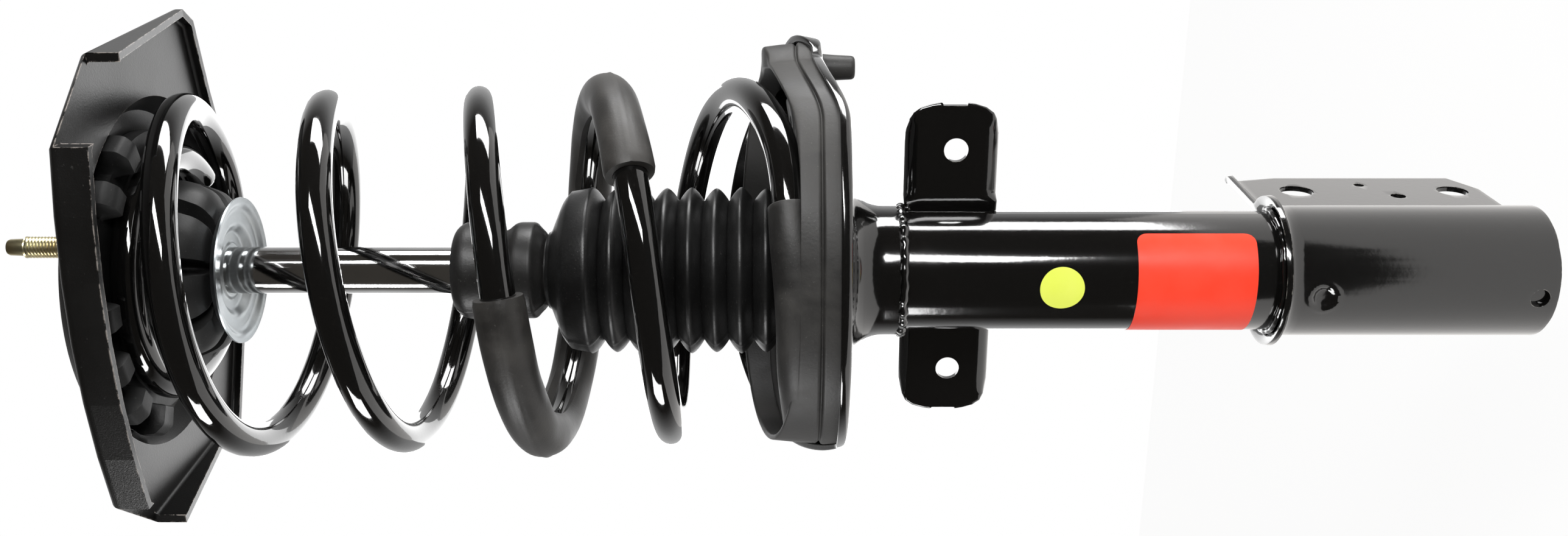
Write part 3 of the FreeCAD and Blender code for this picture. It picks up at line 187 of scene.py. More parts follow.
def gloss_paint(name, chips=0.0, peel=1.0, rough=0.09, veil=0.10):
    """Black enamel over steel: orange peel, dust, faint scuffs and, with chips, worn edges."""
    n = Nodes(name)
    dust = n.ramp(n.noise(900, 2), (0.66, 0.0), (0.76, 1.0))
    haze = n.ramp(n.noise(26, 4, 0.6), (0.42, 0.0), (0.75, 1.0))
    colour = n.mix(n.maths("MULTIPLY", dust, 0.10), (0.0028, 0.0027, 0.0026), (0.07, 0.066, 0.06))
    drawn = n.noise(60, 6, 0.75, at=n.stretched((1.0, 1.0, 7.0)), distort=1.2)
    scratch = n.ramp(drawn, (0.70, 0.0), (0.74, 1.0))
    roughness = n.ramp(n.weighed(haze, 0.5, scratch, 0.5), (0.0, rough), (1.0, rough + 0.16))
    if chips:
        worn = n.maths("MULTIPLY", n.edges(0.8 * MM), n.ramp(n.noise(260, 4, 0.7), (0.45, 0.0), (0.60, 1.0)))
        bare = n.ramp(worn, (0.17, 0.0), (0.27, chips))
        colour = n.mix(bare, colour, (0.42, 0.40, 0.36))
    height = n.weighed(n.noise(420, 2), 0.55, n.noise(70, 2), 0.8)
    n.set(colour=colour, rough=roughness, coat=1.0, coat_rough=veil, specular=0.5,
          normal=n.bump(height, 0.00006 * peel))
    return n.material


def satin_coat(name):
    """Satin dip coat of the pressed plate, bright and chipped along its cut edges."""
    n = Nodes(name)
    grain = n.noise(1400, 3, 0.6)
    cloud = n.noise(18, 5, 0.6)
    colour = n.mix(n.ramp(cloud, (0.35, 0.0), (0.8, 1.0)), (0.0040, 0.0038, 0.0036), (0.0085, 0.0082, 0.0080))
    specks = n.ramp(n.noise(700, 2), (0.70, 0.0), (0.78, 1.0))
    colour = n.mix(n.maths("MULTIPLY", specks, 0.25), colour, (0.10, 0.10, 0.095))
    worn = n.maths("MULTIPLY", n.edges(1.1 * MM), n.ramp(n.noise(190, 5, 0.75), (0.44, 0.0), (0.58, 1.0)))
    bare = n.ramp(worn, (0.08, 0.0), (0.20, 1.0))
    n.set(colour=n.mix(bare, colour, (0.40, 0.36, 0.33)),
          rough=n.ramp(cloud, (0.2, 0.28), (0.8, 0.38)), specular=0.55,
          normal=n.bump(n.maths("ADD", grain, n.maths("MULTIPLY", cloud, 1.5)), 0.00007))
    return n.material


def rubber(name, dark, bloom, share, rough=(0.45, 0.7)):
    """Moulded rubber with a grey bloom, dust specks and a fine tooth."""
    n = Nodes(name)
    cloud = n.noise(34, 5, 0.62, distort=0.4)
    mottle = n.ramp(cloud, (0.38, 0.0), (0.72, share))
    specks = n.ramp(n.noise(1100, 2), (0.68, 0.0), (0.76, 1.0))
    colour = n.mix(mottle, dark, bloom)
    colour = n.mix(n.maths("MULTIPLY", specks, 0.22), colour, (0.16, 0.155, 0.145))
    height = n.weighed(n.noise(900, 3), 0.8, n.noise(120, 3), 0.9)
    n.set(colour=colour, rough=n.ramp(cloud, (0.3, rough[0]), (0.75, rough[1])), specular=0.45,
          normal=n.bump(height, 0.00008))
    return n.material


def zinc(name, light, dark, stain, rough):
    """Zinc plate, cloudy and lightly stained."""
    n = Nodes(name)
    cloud = n.noise(48, 6, 0.68, distort=0.8)
    colour = n.mix(n.ramp(cloud, (0.36, 0.0), (0.68, 1.0)), dark, light)
    blot = n.ramp(n.noise(22, 3, 0.5, distort=1.5), (0.56, 0.0), (0.74, 0.6))
    colour = n.mix(blot, colour, stain)
    n.set(colour=colour, metal=1.0, rough=n.ramp(cloud, (0.3, rough[0]), (0.75, rough[1])),
          normal=n.bump(n.noise(380, 4), 0.000012))
    return n.material


def metal(name, colour, rough, streaks=(1.0, 1.0, 1.0), depth=0.00002, spread=0.08):
    """Bare or ground metal with fine marks across a direction."""
    n = Nodes(name)
    marks = n.noise(1500, 3, 0.6, at=n.stretched(streaks))
    cloud = n.noise(40, 4, 0.6)
    shade = tuple(0.82 * level for level in colour)
    n.set(colour=n.mix(n.ramp(cloud, (0.35, 0.0), (0.7, 1.0)), shade, colour), metal=1.0,
          rough=n.ramp(marks, (0.3, rough), (0.7, rough + spread)), normal=n.bump(marks, depth))
    return n.material


def vinyl(name, colour, pale):
    """Printed vinyl film laid over the painted tube."""
    n = Nodes(name)
    cloud = n.noise(60, 4, 0.6)
    n.set(colour=n.mix(n.ramp(cloud, (0.4, 0.0), (0.9, 0.5)), colour, pale),
          rough=n.ramp(cloud, (0.3, 0.30), (0.8, 0.42)), specular=0.4,
          normal=n.bump(n.noise(300, 2), 0.00002))
    return n.material


MATERIALS = {
    "satin_black_coat": satin_coat("satin_black_coat"),
    "yellow_zinc": zinc("yellow_zinc", light=(0.72, 0.62, 0.38), dark=(0.58, 0.48, 0.26),
                        stain=(0.60, 0.62, 0.44), rough=(0.26, 0.36)),
    "mount_rubber": rubber("mount_rubber", (0.006, 0.006, 0.006), (0.020, 0.020, 0.020), 0.5),
    "plain_steel": metal("plain_steel", (0.55, 0.55, 0.56), 0.30),
    "bright_zinc": zinc("bright_zinc", light=(0.52, 0.55, 0.565), dark=(0.40, 0.43, 0.445),
                        stain=(0.46, 0.48, 0.47), rough=(0.28, 0.40)),
    "seat_rubber": rubber("seat_rubber", (0.011, 0.0105, 0.010), (0.040, 0.038, 0.035), 0.8),
    "hard_chrome": metal("hard_chrome", (0.80, 0.80, 0.80), 0.05, (1.0, 1.0, 0.05), 0.000004, 0.04),
    "sintered_iron": metal("sintered_iron", (0.28, 0.28, 0.29), 0.5),
    "slide_band": rubber("slide_band", (0.16, 0.13, 0.10), (0.22, 0.18, 0.14), 0.6),
    "spring_steel": metal("spring_steel", (0.48, 0.52, 0.58), 0.25),
    "gloss_black_paint": gloss_paint("gloss_black_paint", chips=0.7),
    "seal_rubber": rubber("seal_rubber", (0.012, 0.012, 0.012), (0.03, 0.03, 0.03), 0.5),
    "bronze": metal("bronze", (0.60, 0.42, 0.22), 0.3),
    "spring_paint": gloss_paint("spring_paint", peel=0.6, rough=0.06, veil=0.03),
    "sleeve_rubber": rubber("sleeve_rubber", (0.014, 0.013, 0.012), (0.046, 0.043, 0.039), 0.8, (0.42, 0.6)),
    "bumper_foam": rubber("bumper_foam", (0.008, 0.0078, 0.0076), (0.024, 0.023, 0.022), 0.6, (0.36, 0.52)),
    "boot_rubber": rubber("boot_rubber", (0.004, 0.004, 0.004), (0.012, 0.012, 0.012), 0.6, (0.34, 0.48)),
    "weld_paint": gloss_paint("weld_paint", peel=2.5, rough=0.08),
    "red_label": vinyl("red_label", (0.82, 0.045, 0.018), (0.84, 0.070, 0.035)),
    "green_sticker": vinyl("green_sticker", (0.66, 0.74, 0.09), (0.72, 0.78, 0.16)),
}
SLOT_OF = {row["node"]: row["material_slot"] for row in frame["record"]["subparts"]}


def dress(thing, slot):
    thing.data.materials.clear()
    thing.data.materials.append(MATERIALS[slot])
    return thing


for node_name, thing in nodes.items():
    dress(thing, SLOT_OF[node_name])


# Mesh building

def piece(name, points, faces, slot, body, sharp=40, stands_for=(), ride=True):
    """Make a visible piece from points in metres, finish it, and set it on its body."""
    mesh = bpy.data.meshes.new(name)
    mesh.from_pydata([tuple(point) for point in points], [], [tuple(face) for face in faces])
    mesh.validate()
    mesh.shade_smooth()
    mesh.set_sharp_from_angle(angle=math.radians(sharp))
    thing = bpy.data.objects.new(name, mesh)
    bpy.context.scene.collection.objects.link(thing)
    dress(thing, slot)
    if ride:
        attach(thing, body)
    if stands_for:
        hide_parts(*stands_for)
    return thing


def grid_faces(rows, columns, close_rows=False, close_columns=True, start=0):
    """Quads of a grid of points laid row after row."""
    faces = []
    for row in range(rows if close_rows else rows - 1):
        below = (row + 1) % rows
        for column in range(columns if close_columns else columns - 1):
            beside = (column + 1) % columns
            faces.append((start + row * columns + column, start + row * columns + beside,
                          start + below * columns + beside, start + below * columns + column))
    return faces


def end_caps(rows, sides):
    """Faces that close the first and last ring of a tube."""
    last = (rows - 1) * sides
    return [tuple(range(sides)), tuple(last + side for side in reversed(range(sides)))]


def plain(line):
    return [(point.x, point.y) for point in line]


def rounded(corners, steps=5):
    """Polyline through (across, along, fillet) corners with each corner turned into an arc-like curve."""
    line = []
    count = len(corners)
    for index, (across, along, fillet) in enumerate(corners):
        here = Vector((across, along))
        if fillet == 0 or index in (0, count - 1):
            line.append(here)
            continue
        before = Vector(corners[index - 1][:2])
        after = Vector(corners[index + 1][:2])
        back, ahead = before - here, after - here
        reach = min(fillet, 0.48 * back.length, 0.48 * ahead.length)
        start = here + back.normalized() * reach
        end = here + ahead.normalized() * reach
        for step in range(steps + 1):
            share = step / steps
            line.append((1 - share) ** 2 * start + 2 * share * (1 - share) * here + share ** 2 * end)
    return line


def lathe(name, profile, slot, body, segments=96, closed=False, centre=(0.0, 0.0), wobble=None, **options):
    """Turn (radius, depth) pairs in mm about the strut's axis; wobble may move each point."""
    points = []
    for radius, depth in profile:
        for step in range(segments):
            angle = math.tau * step / segments
            r, d = (radius, depth) if wobble is None else wobble(radius, depth, angle)
            x, y = centre[0] + r * math.cos(angle), centre[1] + r * math.sin(angle)
            points.append((x * MM, y * MM, -d * MM))
    return piece(name, points, grid_faces(len(profile), segments, close_rows=closed), slot, body, **options)


# Coil spring: the line of the solid's wire, but bedded up to BED_DROP deeper inside the rubber cuff

TURN = 360.0
WIRE = 6.85
COIL_RADIUS, FREE_RADIUS, PIGTAIL_RADIUS = 72.2, 71.3, 48.0
SPRING_START, SPRING_END = 40.0, 2213.0
SEAT_DEPTH, TOP_DEPTH = 280.5, 17.0
LIFT, LIFT_BLEND, CLOSE_BLEND, PITCH = 215.0, 30.0, 90.0, 58.75
FREE_DROP, FREE_START, FREE_END, FREE_BLEND = 3.6, 450.0, 1740.0, 120.0
MID_DROP, MID_START, MID_END, MID_BLEND = 5.3, 760.0, 1290.0, 110.0
LEAN, LEAN_START, LEAN_BLEND, LEAN_HALVING, NEAR_SIDE = 18.0, 230.0, 110.0, 416.0, 290.5
PIGTAIL_START, PIGTAIL_TURN = 1860.0, 125.0
SEAT_SHIFT, SEAT_BEARING, LEAVE, LEAVE_BLEND = 8.0, 20.5, 260.0, 120.0
LOW_SHIFT, HIGH_SHIFT = 5.0, -2.5
BED_DROP, BED_START, BED_END, BED_BLEND = 6.0, 150.0, 258.0, 50.0


def ease(start, width, bearing):
    share = np.clip((bearing - start) / width, 0, 1)
    return (1 - np.cos(np.pi * share)) / 2


def climb(start, width, bearing):
    past = np.clip(bearing - start, 0, width)
    return past * past / (2 * width) + np.maximum(bearing - start - width, 0)


def between(first, second, share):
    return first + (second - first) * share


def wire_line(bearing):
    """Centre of the wire in mm at an array of bearings."""
    rate = PITCH / TURN
    close = LIFT + LIFT_BLEND / 2 + (SEAT_DEPTH - TOP_DEPTH) / rate - CLOSE_BLEND / 2
    risen = rate * (climb(LIFT, LIFT_BLEND, bearing) - climb(close, CLOSE_BLEND, bearing))
    drop = FREE_DROP * (ease(FREE_START, FREE_BLEND, bearing) - ease(FREE_END, FREE_BLEND, bearing))
    drop += MID_DROP * (ease(MID_START, MID_BLEND, bearing) - ease(MID_END, MID_BLEND, bearing))
    drop += BED_DROP * (ease(BED_START, BED_BLEND, bearing) - ease(BED_END, BED_BLEND, bearing))
    lean = LEAN * 0.5 ** ((bearing - LEAN_START) / LEAN_HALVING) * ease(LEAN_START, LEAN_BLEND, bearing)
    lean *= (1 - ease(close, CLOSE_BLEND, bearing)) * np.cos(np.radians(bearing - NEAR_SIDE))
    depth = SEAT_DEPTH - risen + drop + lean
    free, inward = ease(LEAVE, LEAVE_BLEND, bearing), ease(PIGTAIL_START, PIGTAIL_TURN, bearing)
    radius = between(between(COIL_RADIUS, FREE_RADIUS, free), PIGTAIL_RADIUS, inward)
    shift = between(LOW_SHIFT, HIGH_SHIFT, risen / (SEAT_DEPTH - TOP_DEPTH))
    shift = between(between(SEAT_SHIFT, shift, free), 0, inward)
    angle, toward = np.radians(bearing), math.radians(SEAT_BEARING)
    return np.stack([radius * np.cos(angle) + shift * math.cos(toward),
                     radius * np.sin(angle) + shift * math.sin(toward), -depth], axis=1)


def wire_frames(bearing):
    """Centres, outward directions and third directions of sections square to the wire."""
    centre = wire_line(bearing)
    along = wire_line(bearing + 0.05) - wire_line(bearing - 0.05)
    along /= np.linalg.norm(along, axis=1)[:, None]
    out = np.stack([np.cos(np.radians(bearing)), np.sin(np.radians(bearing)), 0 * bearing], axis=1)
    out -= along * (out * along).sum(1)[:, None]
    out /= np.linalg.norm(out, axis=1)[:, None]
    return centre, out, np.cross(along, out)


def wound(name, bearing, radii, slot, sides, stands_for=(), close_ends=True, sharp=50):
    """Tube along the wire, with a radius for each section and side."""
    centre, out, third = wire_frames(bearing)
    angle = math.tau * np.arange(sides) / sides
    ring = np.cos(angle)[None, :, None] * out[:, None, :] + np.sin(angle)[None, :, None] * third[:, None, :]
    points = centre[:, None, :] + radii[:, :, None] * ring
    count = len(bearing)
    faces = grid_faces(count, sides)
    if close_ends:
        faces += end_caps(count, sides)
    thing = piece(name, points.reshape(-1, 3) * MM, faces, slot, None, sharp=sharp, stands_for=stands_for,
                  ride=False)
    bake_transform(thing)
    return thing


def coil_spring():
    step, sides = 2.5, 28
    bearing = np.arange(SPRING_START + 1.2, SPRING_END - 1.2, step)
    edge = np.array([0.0, 0.25, 0.6, 1.2])
    bearing = np.concatenate([SPRING_START + edge[:-1], bearing, SPRING_END - edge[:-1][::-1]])
    radius = np.full(len(bearing), WIRE)
    radius[:3] = WIRE - np.array([0.9, 0.45, 0.12])
    radius[-3:] = WIRE - np.array([0.12, 0.45, 0.9])
    radii = radius[:, None] * np.ones((1, sides))
    wound("coil_spring_wire", bearing, radii, "spring_paint", sides, ("coil_spring",))


def coil_sleeve():
    """Split rubber hose over one turn, faceted where it is bent, with thick cut ends."""
    start, end, sections, sides = 679.0, 1001.0, 190, 48
    wall, slit_from, sunk, parting_side, parting_ridge = 3.4, 149, 0.9, 1, 0.4
    outer = WIRE + wall
    bearing = np.linspace(start, end, sections)
    angle = math.tau * np.arange(sides) / sides
    open_side = np.cos(angle) < math.cos(math.radians(slit_from))
    radii = np.full((len(bearing), sides), outer)
    for row, place in enumerate(bearing):
        for side, turn in enumerate(angle):
            ripple = noise.noise(Vector((place * 0.055, math.cos(turn) * 1.1, math.sin(turn) * 1.1)))
            facet = 0.35 * math.cos(place * 0.19) * max(0.0, -math.cos(turn))
            radii[row, side] = outer - 0.15 + 0.35 * ripple + facet
    radii[:, open_side] = WIRE - sunk
    radii[:, parting_side] += parting_ridge
    inner = np.full_like(radii, WIRE + 0.12)
    inner[:, open_side] = WIRE - sunk
    lead = np.array([0.0, 0.5, 1.3])
    first = start + lead
    last = end - lead[::-1]
    bearing = np.concatenate([[start], first[:1], bearing[1:-1], last[-1:], [end]])
    radii = np.concatenate([inner[:1], radii[:1] - 0.5, radii[1:-1], radii[-1:] - 0.5, inner[:1]])
    wound("coil_sleeve_hose", bearing, radii, "sleeve_rubber", sides, ("coil_sleeve",), close_ends=False,
          sharp=60)


# Jounce bumper and boot

MOULD_SEAM = 229


def seam_ridge(angle, width):
    """Height, 1 at its top, of the ridge that the mould leaves."""
    off = math.degrees(math.remainder(angle - math.radians(MOULD_SEAM), math.tau))
    return math.exp(-(off / width) ** 2)


def jounce_bumper():
    profile = rounded([
        (10.6, 139.5, 0), (10.6, 137.5, 1.5), (17.0, 137.5, 3.0), (20.7, 141.5, 4.0), (20.9, 147.0, 3.0),
        (20.4, 153.0, 3.5), (16.4, 159.0, 2.5), (20.2, 163.6, 2.0), (20.7, 165.5, 1.5), (20.7, 171.8, 1.2),
        (18.6, 173.6, 1.0), (16.6, 175.6, 0.8), (14.6, 176.8, 0.5), (14.6, 181.6, 0), (20.0, 186.0, 2.0),
        (20.4, 198.0, 2.0), (16.4, 203.0, 2.0), (20.4, 208.5, 2.0), (20.4, 227.3, 1.0), (10.6, 227.4, 0)])

    def seam(radius, depth, angle):
        return radius + 0.35 * seam_ridge(angle, 1.6) * (radius > 12), depth

    thing = lathe("bumper_foam_body", profile, "bumper_foam", LOW, wobble=seam, stands_for=("jounce_bumper",),
                  segments=160)
    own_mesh(thing)


def dust_boot():
    crest, valley, ribs, bulge = 35.6, 29.6, 9, 1.55
    first, pitch, wall = 196.0, 10.653, 1.5
    outside = plain(rounded([(14.8, 177.6, 0), (16.3, 177.4, 0.5), (17.0, 179.0, 1.0), (30.0, 184.4, 4.0),
                             (33.8, 187.6, 3.0)]))
    for index in range(ribs):
        middle = first + pitch * index
        high = crest - (0.4 if index % 2 else 0.0)
        for step in range(-6, 7):
            share = step / 12
            if index == 0 and share < -0.15:
                continue
            swell = 1 - abs(2 * share) ** bulge
            low = valley + (1.2 if index == ribs - 1 and share > 0 else 0)
            outside.append((low + (high - low) * swell, middle + pitch * share))
    outside += plain(rounded([(29.0, 290.6, 0), (27.6, 291.6, 0.8), (27.4, 297.0, 0.6), (26.0, 297.4, 0)]))
    inside = [(radius - wall, depth) for radius, depth in reversed(outside)]
    inside = [(max(radius, 25.6) if depth > 285 else max(radius, 14.8), depth) for radius, depth in inside]
    profile = outside + inside

    def seam(radius, depth, angle):
        sag = 0.25 * noise.noise(Vector((math.cos(angle) * 2, math.sin(angle) * 2, depth * 0.06)))
        return radius + 0.6 * seam_ridge(angle, 1.5) * (radius > 28) + sag * (radius > 28), depth

    thing = lathe("dust_boot_bellows", profile, "boot_rubber", LOW, wobble=seam, stands_for=("dust_boot",),
                  segments=180, closed=True, sharp=50)
    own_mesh(thing)


# Studs with their threads

def threaded(radius, start, end, pitch, depth, tip, sides):
    """Rings of a threaded shank from depth start up to end, with its tip's profile above."""
    rings, per_turn = [], 6
    count = int((start - end) / pitch * per_turn)
    for step in range(count + 1):
        level = start - (start - end) * step / count
        fade = min(1.0, (level - end) / pitch, (start - level) / (0.5 * pitch))
        row = []
        for side in range(sides):
            angle = math.tau * side / sides
            phase = (level / pitch + side / sides) % 1.0
            groove = 1 - abs(2 * phase - 1)
            row.append((radius - depth * groove * max(fade, 0.0), level, angle))
        rings.append(row)
    for r, level in tip:
        rings.append([(r, level, math.tau * side / sides) for side in range(sides)])
    return rings


def mount_studs():
    """One long guide stud and two short ones, each pressed into the plate from below."""
    points, faces = [], []
    circle, sides = 40, 36
    head = [(0.01, 5.5), (7.3, 5.5), (7.5, 5.2), (7.5, 3.0), (5.3, 3.0), (5.3, 0.0)]
    long_tip = [(4.0, -67.3), (3.95, -68.0), (3.7, -74.4), (3.3, -75.3), (2.6, -75.6), (0.01, -75.6)]
    short_tip = [(4.3, -19.2), (3.9, -20.0), (0.01, -20.0)]
    for bearing, end, tip in ((95.5, -67.0, long_tip), (215.5, -19.0, short_tip), (335.5, -19.0, short_tip)):
        x, y = circle * math.cos(math.radians(bearing)), circle * math.sin(math.radians(bearing))
        rings = [[(r, level, math.tau * side / sides) for side in range(sides)] for r, level in head]
        rings += threaded(4.98, -0.1, end, pitch=1.5, depth=0.62, tip=tip, sides=sides)
        start = len(points)
        for row in rings:
            points += [((x + r * math.cos(a)) * MM, (y + r * math.sin(a)) * MM, -level * MM)
                       for r, level, a in row]
        faces += grid_faces(len(rings), sides, start=start)
    piece("tower_stud_threads", points, faces, "yellow_zinc", TOP, sharp=35, stands_for=("mount_studs",))


# Shapes whose section changes with the bearing

def swept_round(name, section, slot, body, segments, **options):
    """Closed ring; section gives (radius, depth, shift toward the seat's bearing) in mm at a bearing."""
    columns = [section(TURN * step / segments) for step in range(segments)]
    toward = math.radians(SEAT_BEARING)
    points = []
    for row in range(len(columns[0])):
        for step, column in enumerate(columns):
            radius, depth, shift = column[row]
            angle = math.tau * step / segments
            points.append(((radius * math.cos(angle) + shift * math.cos(toward)) * MM,
                           (radius * math.sin(angle) + shift * math.sin(toward)) * MM, -depth * MM))
    return piece(name, points, grid_faces(len(columns[0]), segments, close_rows=True), slot, body, **options)


def shaped(thing, wall, cutters=(), bevel=0.0):
    """Thicken, drill and bevel a piece in that order, and keep the result as its mesh."""
    solid = thing.modifiers.new("wall", "SOLIDIFY")
    solid.thickness = wall * MM
    solid.offset = 0.0
    for cutter in cutters:
        hole = thing.modifiers.new("hole", "BOOLEAN")
        hole.operation = "DIFFERENCE"
        hole.object = cutter
    if bevel:
        edge = thing.modifiers.new("edge", "BEVEL")
        edge.width = bevel * MM
        edge.segments = 3
        edge.limit_method = "ANGLE"
        edge.angle_limit = math.radians(40)
    bpy.context.view_layer.update()
    mesh = bpy.data.meshes.new_from_object(thing.evaluated_get(bpy.context.evaluated_depsgraph_get()))
    mesh.shade_smooth()
    mesh.set_sharp_from_angle(angle=math.radians(40))
    thing.modifiers.clear()
    thing.data = mesh
    for cutter in cutters:
        bpy.data.objects.remove(cutter)
    return thing


def drill(radius, middle, direction, length, sides=48):
    """Cutter for a round hole, from sizes in mm."""
    direction = Vector(direction).normalized()
    turn = Vector((0, 0, 1)).rotation_difference(direction).to_matrix()
    points = []
    for end in (-length / 2, length / 2):
        for side in range(sides):
            angle = math.tau * side / sides
            spot = Vector((radius * math.cos(angle), radius * math.sin(angle), end))
            points.append((Vector(middle) + turn @ spot) * MM)
    faces = grid_faces(2, sides) + [tuple(reversed(range(sides))), tuple(range(sides, 2 * sides))]
    mesh = bpy.data.meshes.new("drill")
    mesh.from_pydata([tuple(point) for point in points], [], faces)
    thing = bpy.data.objects.new("drill", mesh)
    bpy.context.scene.collection.objects.link(thing)
    return thing


def bead(name, bearings, centre, depth, radius, stands_for=(), lump=0.3, step=7.0, closed=False):
    """Weld bead round the axis, at a radius and depth in mm; it swells once in every step of degrees."""
    points, sides = [], 14
    for row, bearing in enumerate(bearings):
        angle = math.radians(bearing)
        end = 1.0 if closed else min(1.0, 0.25 + row / 3, 0.25 + (len(bearings) - 1 - row) / 3)
        ripple = 1 + lump * 0.5 * math.sin(math.tau * bearing / step) \
            + lump * noise.noise(Vector((bearing * 0.11, centre, 0)))
        wander = 0.5 * noise.noise(Vector((bearing * 0.05, 0, depth)))
        for side in range(sides):
            turn = math.tau * side / sides
            r = centre + radius * ripple * end * math.cos(turn)
            d = depth + wander + radius * ripple * end * math.sin(turn)
            points.append((r * math.cos(angle) * MM, r * math.sin(angle) * MM, -d * MM))
    faces = grid_faces(len(bearings), sides, close_rows=closed)
    if not closed:
        faces += end_caps(len(bearings), sides)
    piece(name, points, faces, "weld_paint", LOW, sharp=70, stands_for=stands_for)


# Lower spring seat

LOBE_REACH, LOBE_RADIUS, LOBE_WALL = 68.0, 24.0, 3.0
SEAT_RADIUS, SEAT_FLOOR, SEAT_RIM, SEAT_FLARE = 84.5, 304.0, 251.0, 9.0
NECK_RADIUS, NECK_END = 28.0, 326.4


def seat_reach(bearing, plain, lobe):
    """Distance from the seat's centre to its outline, which has a round lobe on the upper side."""
    turn = math.radians(bearing - SEAT_BEARING)
    off = LOBE_REACH * math.sin(turn)
    far = 0.0
    if abs(off) < lobe and math.cos(turn) > 0:
        far = LOBE_REACH * math.cos(turn) + math.sqrt(lobe * lobe - off * off)
    blend = 0.9
    return blend * math.log(math.exp((plain - blend) / blend) + math.exp((far - blend) / blend))


def lobe_lift(radius, bearing):
    """How far the seat's floor rises toward the mount at the lobe."""
    up = SEAT_SHIFT + radius * math.cos(math.radians(bearing - SEAT_BEARING))
    return 10.0 * float(ease(58.0, 34.0, up))


def seat_section(corners, bearing, steps=4):
    """Rounded section whose outer part is centred on the seat and raised at the lobe."""
    section = []
    for point in rounded(corners, steps):
        raised = lobe_lift(point.x, bearing) * float(ease(46.0, 14.0, point.x) * ease(262.0, 34.0, point.y))
        section.append((point.x, point.y - raised, SEAT_SHIFT * float(ease(42.0, 22.0, point.x))))
    return section


def spring_perch():
    """Pressed steel seat with a bell-shaped neck, a wall on its far side and a lobe above."""
    slope = math.tan(math.radians(26))

    def section(bearing):
        reach = seat_reach(bearing, SEAT_RADIUS, LOBE_RADIUS)
        away = (reach + 3) * math.sin(math.radians(bearing - SEAT_BEARING))
        rim = min(299.6, max(SEAT_RIM + 0.2, 292 - away * slope))
        wide = reach + SEAT_FLARE * (SEAT_FLOOR - rim) / (SEAT_FLOOR - SEAT_RIM)
        inside = SEAT_FLOOR - LOBE_WALL
        return seat_section([
            (25.6, NECK_END, 0), (NECK_RADIUS, NECK_END, 0.5), (NECK_RADIUS, 315.0, 7.0), (34.5, 306.6, 5.0),
            (47.0, SEAT_FLOOR, 7.0), (55.0, SEAT_FLOOR, 0), (64.0, SEAT_FLOOR, 0), (reach - 8, SEAT_FLOOR, 0),
            (reach - 0.1, SEAT_FLOOR, 2.6), (wide, rim, 1.1), (wide - LOBE_WALL, rim, 1.1),
            (reach - LOBE_WALL, inside, 2.0), (reach - 9, inside, 0), (64.0, inside, 0), (44.0, inside, 4.0),
            (34.0, 303.4, 4.0), (25.6, 312.0, 0)], bearing)

    swept_round("spring_perch_pressing", section, "gloss_black_paint", LOW, segments=360, sharp=60,
                stands_for=("lower_spring_perch", "perch_collar"))


def seat_rubber():
    """Moulded ring under the spring, with banded sides and a lobe, and the cuff round the wire's end."""
    def section(bearing):
        reach = seat_reach(bearing, 81.6, LOBE_RADIUS - LOBE_WALL)
        away = math.sin(math.radians(bearing - SEAT_BEARING))
        lobe = float(ease(84.0, 8.0, reach))
        top = between(271.0 - 14.0 * away, 268.0, lobe)
        step = between(289.0, 286.0, 0.5 + 0.5 * away)
        around = math.radians(bearing)
        wave = 0.5 * noise.noise(Vector((math.cos(around) * 2, math.sin(around) * 2, 0)))
        edge = reach + 1.2
        return seat_section([
            (58.2, 300.8, 1.0), (edge, 300.8, 0.7), (edge + 0.4, 293.6, 0.9), (edge - 1.5, 292.7, 0.6),
            (edge - 0.2, 291.6, 1.0), (edge - 0.6 + wave, 284.0, 3.0), (reach - 0.4, top, 2.2),
            (78.2, top + 0.4, 1.6), (77.0, 284.0, 3.0), (67.6, step, 3.0), (65.0, 281.0, 1.6),
            (59.0, 281.6, 1.6)], bearing)

    swept_round("seat_rubber_ring", section, "seat_rubber", LOW, segments=360, sharp=50,
                stands_for=("lower_spring_insulator",))
    start, end, step, sides, wall = 96.0, 305.5, 1.5, 32, 2.2
    bearing = np.arange(start, end, step)
    turn = math.tau * np.arange(sides) / sides
    radii = np.full((len(bearing), sides), WIRE + wall)
    for row, place in enumerate(bearing):
        for side in range(sides):
            swell = 0.25 * noise.noise(Vector((place * 0.04, math.cos(turn[side]), math.sin(turn[side]))))
            radii[row, side] += swell - 0.5 * ease(292.0, 12.0, place)
    inner = np.full((1, sides), WIRE + 0.1)
    bearing = np.concatenate([bearing[:1], bearing, bearing[-1:] + 0.35, bearing[-1:] + 0.35])
    radii = np.concatenate([inner, radii, radii[-1:] - 0.45, inner])
    wound("seat_rubber_cuff", bearing, radii, "seat_rubber", sides, close_ends=False, sharp=60)


def seat_nub():
    """Tapered rubber peg that points down through the seat's lobe."""
    reach = SEAT_SHIFT + 79.0
    toward = math.radians(SEAT_BEARING)
    profile = rounded([(0.01, 290.0, 0), (6.2, 290.0, 0.8), (5.4, 300.0, 2.0), (5.0, 308.4, 2.0),
                       (0.01, 308.5, 0)], 6)
    lathe("seat_rubber_peg", plain(profile), "seat_rubber", LOW, segments=48,
          centre=(reach * math.cos(toward), reach * math.sin(toward)))


# Rubber mount, its cup and the upper insulator

